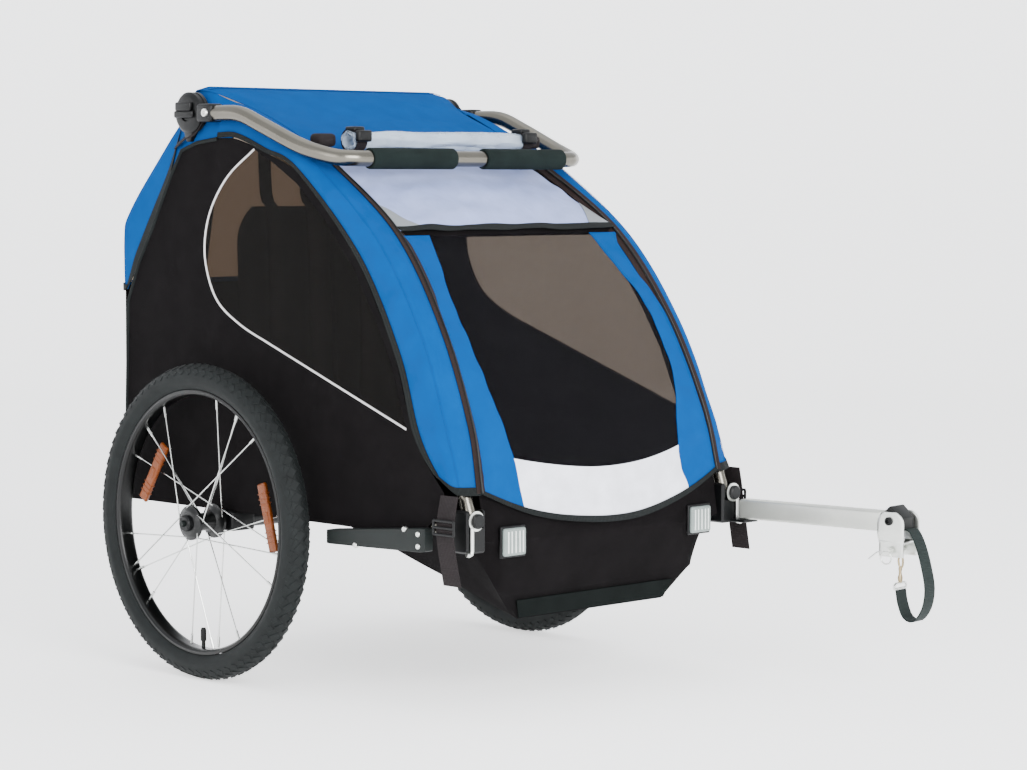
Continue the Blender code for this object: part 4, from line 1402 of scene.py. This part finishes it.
    def brow_point(self, u: float, v: float) -> Vector:
        """The silver flap's surface."""
        across = 2 * u - 1
        half = 0.2215 + 0.009 * v if across < 0 else 0.188 + 0.0425 * v
        bulge = 0.01 * math.sin(math.pi * v) * (1 - across**2)
        point = Vector((across * half, -0.167 - 0.163 * v - bulge * 0.5, 0.807 - 0.1 * v + bulge))
        fold = 0.0035 * ripple(Vector((across * 1.2 + v * 1.4, v * 1.1 - across * 0.5, 0.3)), 0.32)
        return point + Vector((0, -fold * 0.5, fold))

    def brow(self) -> None:
        """The silver flap over the top of the front cover, with a bound hem and grey corners."""
        self.shop.put(sheet(60, 30, self.brow_point), "brow_cloth", Body.CANOPY, SILVER, ["brow_flap"], CLOTH)

        def under(u: float, v: float) -> Vector:
            half = 0.2215 + 0.009 * v
            return Vector(((2 * u - 1) * half, -0.167 - 0.163 * min(v * 1.08, 1.0), 0.8035 - 0.108 * v))

        self.shop.put(sheet(12, 10, under), "brow_underlay", Body.CANOPY, BLACK, thickness=CLOTH)
        surface = lifted(self.brow_point, -0.0018)
        hem = part_of(surface, lambda v: 0.0, lambda v: 1.0, 0.955, 1.02)
        self.shop.put(sheet(60, 3, hem), "brow_hem", Body.CANOPY, TAPE, thickness=0.0014)
        for side in Side:
            if side is Side.RIGHT:
                patch = part_of(surface, lambda v: 0.0, lambda v: max(0.0, (v - 0.62) * 0.3), 0.63, 0.96)
            else:
                patch = part_of(surface, lambda v: 1.0 - max(0.0, (v - 0.62) * 0.3), lambda v: 1.0, 0.63, 0.96)
            self.shop.put(sheet(4, 10, patch), f"brow_corner_{side.tag}", Body.CANOPY, GREY_PATCH, thickness=0.0008)

    def shield(self) -> None:
        """The clear rain shield, rolled up behind the handlebar and held by a strap at each end."""
        turns = 2.4
        half = 0.192

        def place(u: float, v: float) -> Vector:
            angle = math.tau * turns * v
            x = (2 * u - 1) * half
            radius = 0.0175 - 0.0026 * turns * v + 0.0042 * ripple(Vector((x * 9, angle, 0)), 0.6)
            return Vector((x, -0.168 + radius * math.cos(angle), 0.844 + radius * 0.85 * math.sin(angle)))

        roll = sheet(110, 80, place)
        self.shop.put(roll, "rolled_rain_shield", Body.CANOPY, VINYL, ["rolled_shield"], 0.0005, held="folded")
        for side in Side:
            x = side.value * 0.18
            loop = [
                Vector((x, -0.168 + 0.019 * math.cos(a), 0.8445 + 0.0175 * math.sin(a)))
                for a in (math.tau * i / 14 for i in range(15))
            ]
            strap = ribbon(loop, Vector((1, 0, 0)), 0.02)
            self.shop.put(strap, f"shield_strap_{side.tag}", Body.CANOPY, STRAP_WEB, thickness=0.0014)
            buckle = together(
                block((x - 0.014, -0.196, 0.842), (x + 0.014, -0.186, 0.86), 0.003),
                block((x - 0.011, -0.182, 0.858), (x + 0.011, -0.158, 0.866), 0.003),
            )
            self.shop.put(buckle, f"shield_buckle_{side.tag}", Body.CANOPY, NYLON)
            bunch = block((-0.024, -0.016, -0.011), (0.01, 0.014, 0.01), 0.007)
            bunch = moved(bunch, at(side.value * 0.222, -0.15, 0.845))
            self.shop.put(bunch, f"shield_gather_{side.tag}", Body.CANOPY, STRAP_WEB)

    def hoops(self) -> None:
        """The aluminium hoops inside the sleeves."""
        for side in Side:
            through = [
                (0.277, -0.532, 0.29), (0.277, -0.515, 0.335), (0.273, -0.476, 0.425), (0.268, -0.41, 0.548),
                (0.262, -0.308, 0.672), (0.255, -0.16, 0.78), (0.252, -0.03, 0.842), (0.252, 0.1, 0.884),
            ]
            path = smooth_route([(side.value * (x - 0.0015), y, z) for x, y, z in through], 6)
            self.shop.put(sweep(path, 0.0102), f"hoop_tube_{side.tag}", Body.CANOPY, TUBE, [f"side_hoop_{side.tag}"])

    def hubs(self) -> None:
        """The rear top hubs: a ribbed disc with a pointed lug below, a lever across it, and webbing under it."""
        for side in Side:
            s = side.value
            out = mirror(s)
            centre = at(s * 0.2645, 0.115, 0.89) @ out
            profile = [
                (0.0, 0.0225), (0.0125, 0.0225), (0.014, 0.025), (0.0255, 0.025), (0.029, 0.0235),
                (0.033, 0.0195), (0.033, 0.015), (0.0315, 0.0142), (0.0315, 0.01), (0.033, 0.0092),
                (0.033, 0.0035), (0.03, 0.0), (0.0, 0.0),
            ]
            disc = moved(turned(profile, 48, closed=False), centre)
            self.shop.put(disc, f"hub_disc_{side.tag}", Body.CANOPY, NYLON, [f"hub_housing_{side.tag}"])
            lug = block((0.003, -0.015, -0.046), (0.021, 0.015, -0.02), 0.003)
            for vert in lug.verts:
                if vert.co.z < -0.034:
                    vert.co.y *= 0.35
            self.shop.put(lug, f"hub_lug_{side.tag}", Body.CANOPY, NYLON, frame=centre)
            lever = together(
                block((0.0256, -0.024, -0.008), (0.0315, 0.024, 0.003), 0.0025),
                block((0.0256, -0.019, 0.003), (0.033, 0.019, 0.017), 0.0025),
            )
            name = f"hub_lever_grip_{side.tag}"
            self.shop.put(lever, name, f"hub_lever_{side.tag}", NYLON, [f"hub_lever_{side.tag}"], frame=centre)
            line = [(0.006, 0.052, -0.052), (0.016, 0.03, -0.048), (0.019, 0.006, -0.037)]
            line += [(0.019, -0.018, -0.03), (0.016, -0.033, -0.012)]
            path = [Vector((x, y, z)) for x, y, z in line]
            web = ribbon(path, Vector((0.5, 0.2, -0.85)).normalized(), 0.011)
            self.shop.put(web, f"hub_webbing_{side.tag}", Body.CANOPY, STRAP_WEB, thickness=WEB_WALL, frame=centre)

    def build(self) -> None:
        """Makes the canopy."""
        self.sleeves()
        self.zips()
        self.top()
        self.walls()
        self.shoulders()
        self.rear_wall()
        self.brow()
        self.shield()
        self.hoops()
        self.hubs()


@dataclass
class FrontCover:
    """The zipped front cover: blue sides, a screen window and a white band above the hem."""

    shop: Workshop
    band_top: float = 0.79

    zip_line = ((0.231, -0.3345, 0.6985), (0.2425, -0.439, 0.566), (0.2495, -0.508, 0.425), (0.254, -0.534, 0.3265))
    middle_line = ((0, -0.33, 0.6985), (0, -0.452, 0.556), (0, -0.53, 0.41), (0, -0.553, 0.27))
    strips = {
        Side.RIGHT: ((0.125, 0), (0.078, 0.25), (0.088, 0.5), (0.128, 0.79), (0.16, 1.04)),
        Side.LEFT: ((0.125, 0), (0.078, 0.25), (0.088, 0.5), (0.168, 0.79), (0.132, 1.04)),
    }

    def point(self, u: float, v: float) -> Vector:
        """The cover's surface."""
        across = 2 * u - 1
        edge, middle = on_curve(self.zip_line, v), on_curve(self.middle_line, v)
        point = middle.lerp(edge, across**2)
        point.x = edge.x * across
        slack = 0.0025 * ripple(Vector((across * 0.6, v * 5, 0.5)), 0.3) * (1 - across**8)
        return point + Vector((0, -slack, slack))

    def strip_width(self, side: Side, v: float) -> float:
        """How wide a side's blue strip is at a height, as a share of the cover's width."""
        stops = [(width, height, 0) for width, height in self.strips[side]]
        spans = enumerate(zip(stops, stops[1:]))
        share = next((i + (v - a[1]) / (b[1] - a[1]) for i, (a, b) in spans if v <= b[1]), len(stops) - 1)
        return on_curve(stops, share / (len(stops) - 1)).x

    def dip(self, u: float) -> float:
        """How far the white band's top edge curves down towards the middle."""
        return 0.018 * (1 - (2 * u - 1) ** 2)

    def build(self) -> None:
        """Makes the cover."""

        def right(v: float) -> float:
            return self.strip_width(Side.RIGHT, v)

        def left(v: float) -> float:
            return 1 - self.strip_width(Side.LEFT, v)

        pieces = {
            Side.RIGHT: part_of(self.point, lambda v: 0.0, right),
            Side.LEFT: part_of(self.point, left, lambda v: 1.0),
        }
        for side, place in pieces.items():
            self.shop.put(sheet(8, 80, place), f"cover_side_{side.tag}", Body.COVER, BLUE, thickness=CLOTH)
        window = part_of(self.point, right, left)

        def screen(u: float, v: float) -> Vector:
            return window(u, (self.band_top + self.dip(u)) * v)

        def band(u: float, v: float) -> Vector:
            top = self.band_top + self.dip(u)
            return window(u, top + (1 - top) * v)

        self.shop.put(sheet(50, 60, screen), "cover_screen", Body.COVER, SCREEN, ["front_cover"], 0.0007)
        self.shop.put(sheet(50, 14, band), "cover_band", Body.COVER, WHITE, thickness=CLOTH)
        surface = lifted(self.point, -0.0018)
        hem = part_of(surface, lambda v: -0.008, lambda v: 1.008, 0.985, 1.008)
        self.shop.put(sheet(60, 3, hem), "cover_hem", Body.COVER, TAPE, thickness=0.0014)


@dataclass
class Handlebar:
    """The handlebar folded forward over the brow, with foam grips and bolted clamps."""

    shop: Workshop
    grip_radius: float = 0.0165
    grip_half: float = 0.087

    def build(self) -> None:
        """Makes the handlebar."""
        half = [
            (0.283, 0.052, 0.8885), (0.283, -0.014, 0.886), (0.281, -0.072, 0.866), (0.274, -0.152, 0.835),
            (0.257, -0.208, 0.819), (0.236, -0.228, 0.8165), (0.215, -0.234, 0.816),
        ]
        path = smooth_route(half, 8)
        path.append(Vector((0.19, -0.234, 0.816)))
        whole = path + [Vector((-p.x, p.y, p.z)) for p in reversed(path)]
        self.shop.put(sweep(whole, RAIL_RADIUS, 24), "handlebar_bent_tube", Body.HANDLEBAR, TUBE, ["handlebar_tube"])
        for side in Side:
            s = side.value
            r, h = self.grip_radius, self.grip_half
            section = [(r - 0.0015, h), (r, h - 0.0015), (r, -h + 0.0015), (r - 0.0015, -h), (0.0128, -h), (0.0128, h)]
            grip = moved(turned(section, 36), at(s * 0.12, -0.234, 0.816))
            self.shop.put(grip, f"foam_grip_{side.tag}", Body.HANDLEBAR, FOAM, [f"grip_{side.tag}"])
            low, high = sorted((s * 0.269, s * 0.297))
            clamp = block((low, 0.043, 0.8745), (high, 0.08, 0.9035), 0.0045)
            name = f"clamp_block_{side.tag}"
            self.shop.put(clamp, name, Body.HANDLEBAR, NYLON, [f"handlebar_clamp_{side.tag}"])
            head = [(0.0, 0.0), (0.0034, 0.0), (0.0034, 0.0022), (0.006, 0.0026), (0.0068, 0.001)]
            head += [(0.0068, -0.003), (0.0, -0.003)]
            bolt = moved(turned(head, 24, False), at(s * 0.2975, 0.056, 0.889) @ mirror(s))
            self.shop.put(bolt, f"clamp_bolt_{side.tag}", Body.HANDLEBAR, ZINC)


@dataclass
class TowArm:
    """The tow bar, its flexible block, the plated yoke with its pin, and the safety strap."""

    shop: Workshop
    length: float = 0.262
    bolt: tuple[float, float, float] = (0.0, -0.284, 0.003)

    strap = (
        (0, -0.3055, -0.008), (0, -0.315, -0.012), (0, -0.327, -0.034), (0, -0.337, -0.066),
        (0, -0.343, -0.098), (0, -0.338, -0.128), (0, -0.322, -0.149), (0, -0.304, -0.145), (0, -0.294, -0.124),
        (0, -0.29, -0.103),
    )

    def bar(self) -> None:
        """The rectangular bar with rounded edges, and the plate that carries it."""
        shape = block((-0.0127, -self.length, -0.0155), (0.0127, 0.002, 0.0155), 0.004, 4)
        self.shop.put(shape, "tow_bar_tube", Body.TOW_ARM, BAR, ["tow_bar"], frame=self.shop.tow)
        self.shop.dress("tow_receiver", NYLON)

    def block_and_yoke(self) -> None:
        """The urethane block with its peaked top, and the yoke that straddles it."""
        bm = bmesh.new()
        bmesh.ops.create_cube(bm, size=1)
        along = [e for e in bm.edges if abs(e.verts[0].co.y - e.verts[1].co.y) > 0.5]
        bmesh.ops.subdivide_edges(bm, edges=along, cuts=1)
        for vert in bm.verts:
            peak = abs(vert.co.y) < 0.1 and vert.co.z > 0
            top = 0.026 if peak else 0.008
            vert.co = Vector((vert.co.x * 0.04, -0.2825 + vert.co.y * 0.039, top if vert.co.z > 0 else -0.012))
        rounded(bm, 0.0018, 3)
        self.shop.put(bm, "flex_block_cast", Body.TOW_ARM, URETHANE, ["flex_block"], frame=self.shop.tow)
        ears = []
        for side in (-1, 1):
            ear = block((-0.0015, -0.0235, -0.052), (0.0015, 0.0235, 0.017), 0.0012, 2)
            long = [e for e in ear.edges if e.calc_length() > 0.03]
            bmesh.ops.subdivide_edges(ear, edges=long, cuts=11, use_grid_fill=True)
            for vert in ear.verts:
                z = vert.co.z
                if z > 0.0:
                    vert.co.y *= math.sqrt(max(1 - (z / 0.0185) ** 2, 0.12))
                step = 0.0028 * (1 / (1 + math.exp(-(z + 0.022) * 600)) - 1)
                vert.co.x = side * (0.0225 + vert.co.x * side) + side * step
                if z < -0.024:
                    vert.co.y *= 0.92
            ears.append(moved(ear, at(0, -0.286, 0)))
        web = block((-0.0215, -0.3085, -0.03), (0.0215, -0.2635, -0.027), 0.001)
        shape = together(*ears, web)
        self.shop.put(shape, "yoke_pressing", Body.YOKE, ZINC, ["hitch_yoke"], frame=self.shop.tow)
        heads = []
        for side in (-1, 1):
            profile = [(0, 0.0), (0.003, 0.0), (0.0034, 0.003), (0.0058, 0.003), (0.0066, 0.0018)]
            profile += [(0.0066, -0.002), (0, -0.002)]
            head = turned(profile, 28, False)
            heads.append(moved(head, at(side * 0.0245, self.bolt[1], self.bolt[2]) @ mirror(side)))
        self.shop.put(together(*heads), "yoke_bolt", Body.YOKE, NYLON, frame=self.shop.tow)

    def pin(self) -> None:
        """The hitch pin with its pull ring and wire clip."""
        y, z = self.bolt[1], -0.042
        profile = [(0, 0.033), (0.0032, 0.033), (0.004, 0.031), (0.004, -0.029), (0.006, -0.029)]
        profile += [(0.006, -0.033), (0, -0.033)]
        rod = moved(turned(profile, 24, False), at(0, y, z))
        pull = moved(ring(0.0095, 0.0012), at(-0.033, y - 0.001, z - 0.01))
        self.shop.put(together(rod, pull), "hitch_pin_rod", Body.PIN, ZINC, ["hitch_pin"], frame=self.shop.tow)
        clip = [(-0.03, y + 0.002, z - 0.003), (-0.031, y + 0.014, z - 0.002)]
        clip += [(-0.031, y + 0.026, z - 0.01), (-0.031, y + 0.031, z - 0.014)]
        self.shop.put(sweep(smooth_route(clip, 5), 0.0011, 10), "pin_clip", Body.PIN, WIRE, frame=self.shop.tow)

    def safety_strap(self) -> None:
        """The webbing loop that hangs from the yoke, with its ring and snap hook."""
        band = ribbon([Vector(p) for p in self.strap], Vector((1, 0, 0)), 0.028, 4)
        shop = self.shop
        shop.put(band, "safety_webbing", Body.STRAP, GREEN_WEB, ["safety_strap"], 0.0018, shop.tow, "hung")
        rim = [(-0.0165, -0.0955), (-0.0165, -0.101), (0.0165, -0.101), (0.0165, -0.0955)]
        rim += [(0.012, -0.093), (-0.012, -0.093), rim[0]]
        bars = [sweep([(a[0], -0.29, a[1]), (b[0], -0.29, b[1])], 0.0017, 12) for a, b in zip(rim, rim[1:])]
        shop.put(together(*bars), "strap_wire_ring", Body.STRAP, WIRE, ["strap_ring"], frame=shop.tow)
        stem = [(0.0024, -0.093), (0.0034, -0.09), (0.004, -0.085), (0.0026, -0.08), (0.0022, -0.076)]
        stem = [(0.0, -0.093), *stem, (0.003, -0.072), (0.003, -0.07), (0.0, -0.07)]
        swivel = moved(turned(stem, 20, False), at(0, -0.29, 0) @ spin(-90, "Y"))
        hook = [
            (0, -0.29, -0.071), (0, -0.2875, -0.064), (0, -0.2868, -0.0575), (0, -0.2895, -0.053),
            (0, -0.293, -0.0535), (0, -0.2945, -0.058), (0, -0.294, -0.066), (0, -0.2912, -0.0705),
        ]
        shape = together(swivel, sweep(smooth_route(hook, 5), 0.0017, 12))
        shop.put(shape, "snap_hook_brass", Body.STRAP, BRASS, ["snap_hook"], frame=shop.tow)
        stitch = [
            sweep([(x, y, z), (x + 0.0016, y, z)], 0.0004, 6)
            for y, z in ((-0.2927, -0.118), (-0.2935, -0.1225))
            for x in (-0.011 + 0.003 * i for i in range(8))
        ]
        shop.put(moved(together(*stitch), at(0, 0.0018, 0)), "strap_stitches", Body.STRAP, PIPING, frame=shop.tow)

    def build(self) -> None:
        """Makes the tow arm and what hangs from it."""
        self.bar()
        self.block_and_yoke()
        self.pin()
        self.safety_strap()


@dataclass
class Studio:
    """A pale bowl of a floor, soft lights, and the camera."""

    shop: Workshop
    camera_place: tuple[float, float, float] = (-3.145, -3.578, 0.785)
    heading: float = math.radians(44.15)
    pitch: float = math.radians(4.08)
    focal_mm: float = 101.4

    def floor(self) -> None:
        """The floor, which curves up far behind the trailer on every side."""
        bm = bmesh.new()
        profile = smooth_route([(0.001, 0, 0), (6.0, 0, 0), (9.0, 0, 0.05), (11.0, 0, 0.9), (11.8, 0, 4.0)], 8)
        verts = [bm.verts.new(p) for p in profile]
        for a, b in zip(verts, verts[1:]):
            bm.edges.new((a, b))
        spun(bm, (0, 0, 1), 96)
        bmesh.ops.recalc_face_normals(bm, faces=bm.faces)
        for face in bm.faces:
            face.smooth = True
        mesh = bpy.data.meshes.new("studio_floor")
        bm.to_mesh(mesh)
        bm.free()
        mesh.materials.append(PAINT.material())
        obj = bpy.data.objects.new("studio_floor", mesh)
        bpy.context.scene.collection.objects.link(obj)

    def light(self, name: str, place: Vector, aim: Vector, size: float, power: float) -> None:
        """A square soft light that points at the trailer."""
        lamp = bpy.data.lights.new(name, "AREA")
        lamp.size = size
        lamp.energy = power
        obj = bpy.data.objects.new(name, lamp)
        bpy.context.scene.collection.objects.link(obj)
        turn = (aim - place).to_track_quat("-Z", "Y").to_matrix().to_4x4()
        obj.matrix_world = Matrix.Translation(place) @ turn

    def lights(self) -> None:
        """A pale sky with a large key light ahead, a fill and a top light."""
        world = bpy.data.worlds.new("pale_sky")
        bpy.context.scene.world = world
        world.use_nodes = True
        world.node_tree.nodes["Background"].inputs["Color"].default_value = linear("F4F6FA")
        world.node_tree.nodes["Background"].inputs["Strength"].default_value = 1.7
        middle = Vector((0, 0, 0.45))
        self.light("key", Vector((-1.3, -4.5, 2.1)), middle, 2.4, 300)
        self.light("fill", Vector((-4.0, -0.6, 1.8)), middle, 2.5, 60)
        self.light("top", Vector((0.4, 0.6, 4.0)), middle, 3.0, 30)

    def camera(self) -> None:
        """The camera, low and ahead of the trailer's right corner."""
        aim = Vector(
            (
                math.sin(self.heading) * math.cos(self.pitch),
                math.cos(self.heading) * math.cos(self.pitch),
                -math.sin(self.pitch),
            )
        )
        lens = bpy.data.cameras.new("camera")
        lens.lens = self.focal_mm
        lens.sensor_width = 36
        obj = bpy.data.objects.new("camera", lens)
        bpy.context.scene.collection.objects.link(obj)
        place = self.shop.datum @ Vector(self.camera_place)
        obj.matrix_world = Matrix.Translation(place) @ aim.to_track_quat("-Z", "Y").to_matrix().to_4x4()
        bpy.context.scene.camera = obj

    def build(self) -> None:
        """Sets up the studio."""
        self.floor()
        self.lights()
        self.camera()


def main() -> None:
    """Builds the trailer's looks."""
    logging.basicConfig(level=logging.INFO, format="%(message)s")
    shop = Workshop()
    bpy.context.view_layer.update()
    for part in (Chassis, RearFrame, Canopy, FrontCover, Handlebar, TowArm):
        LOG.info("%s", part.__name__)
        part(shop).build()
    for side in Side:
        Wheel(shop, side).build()
    Studio(shop).build()


if __name__ == "__main__":
    main()
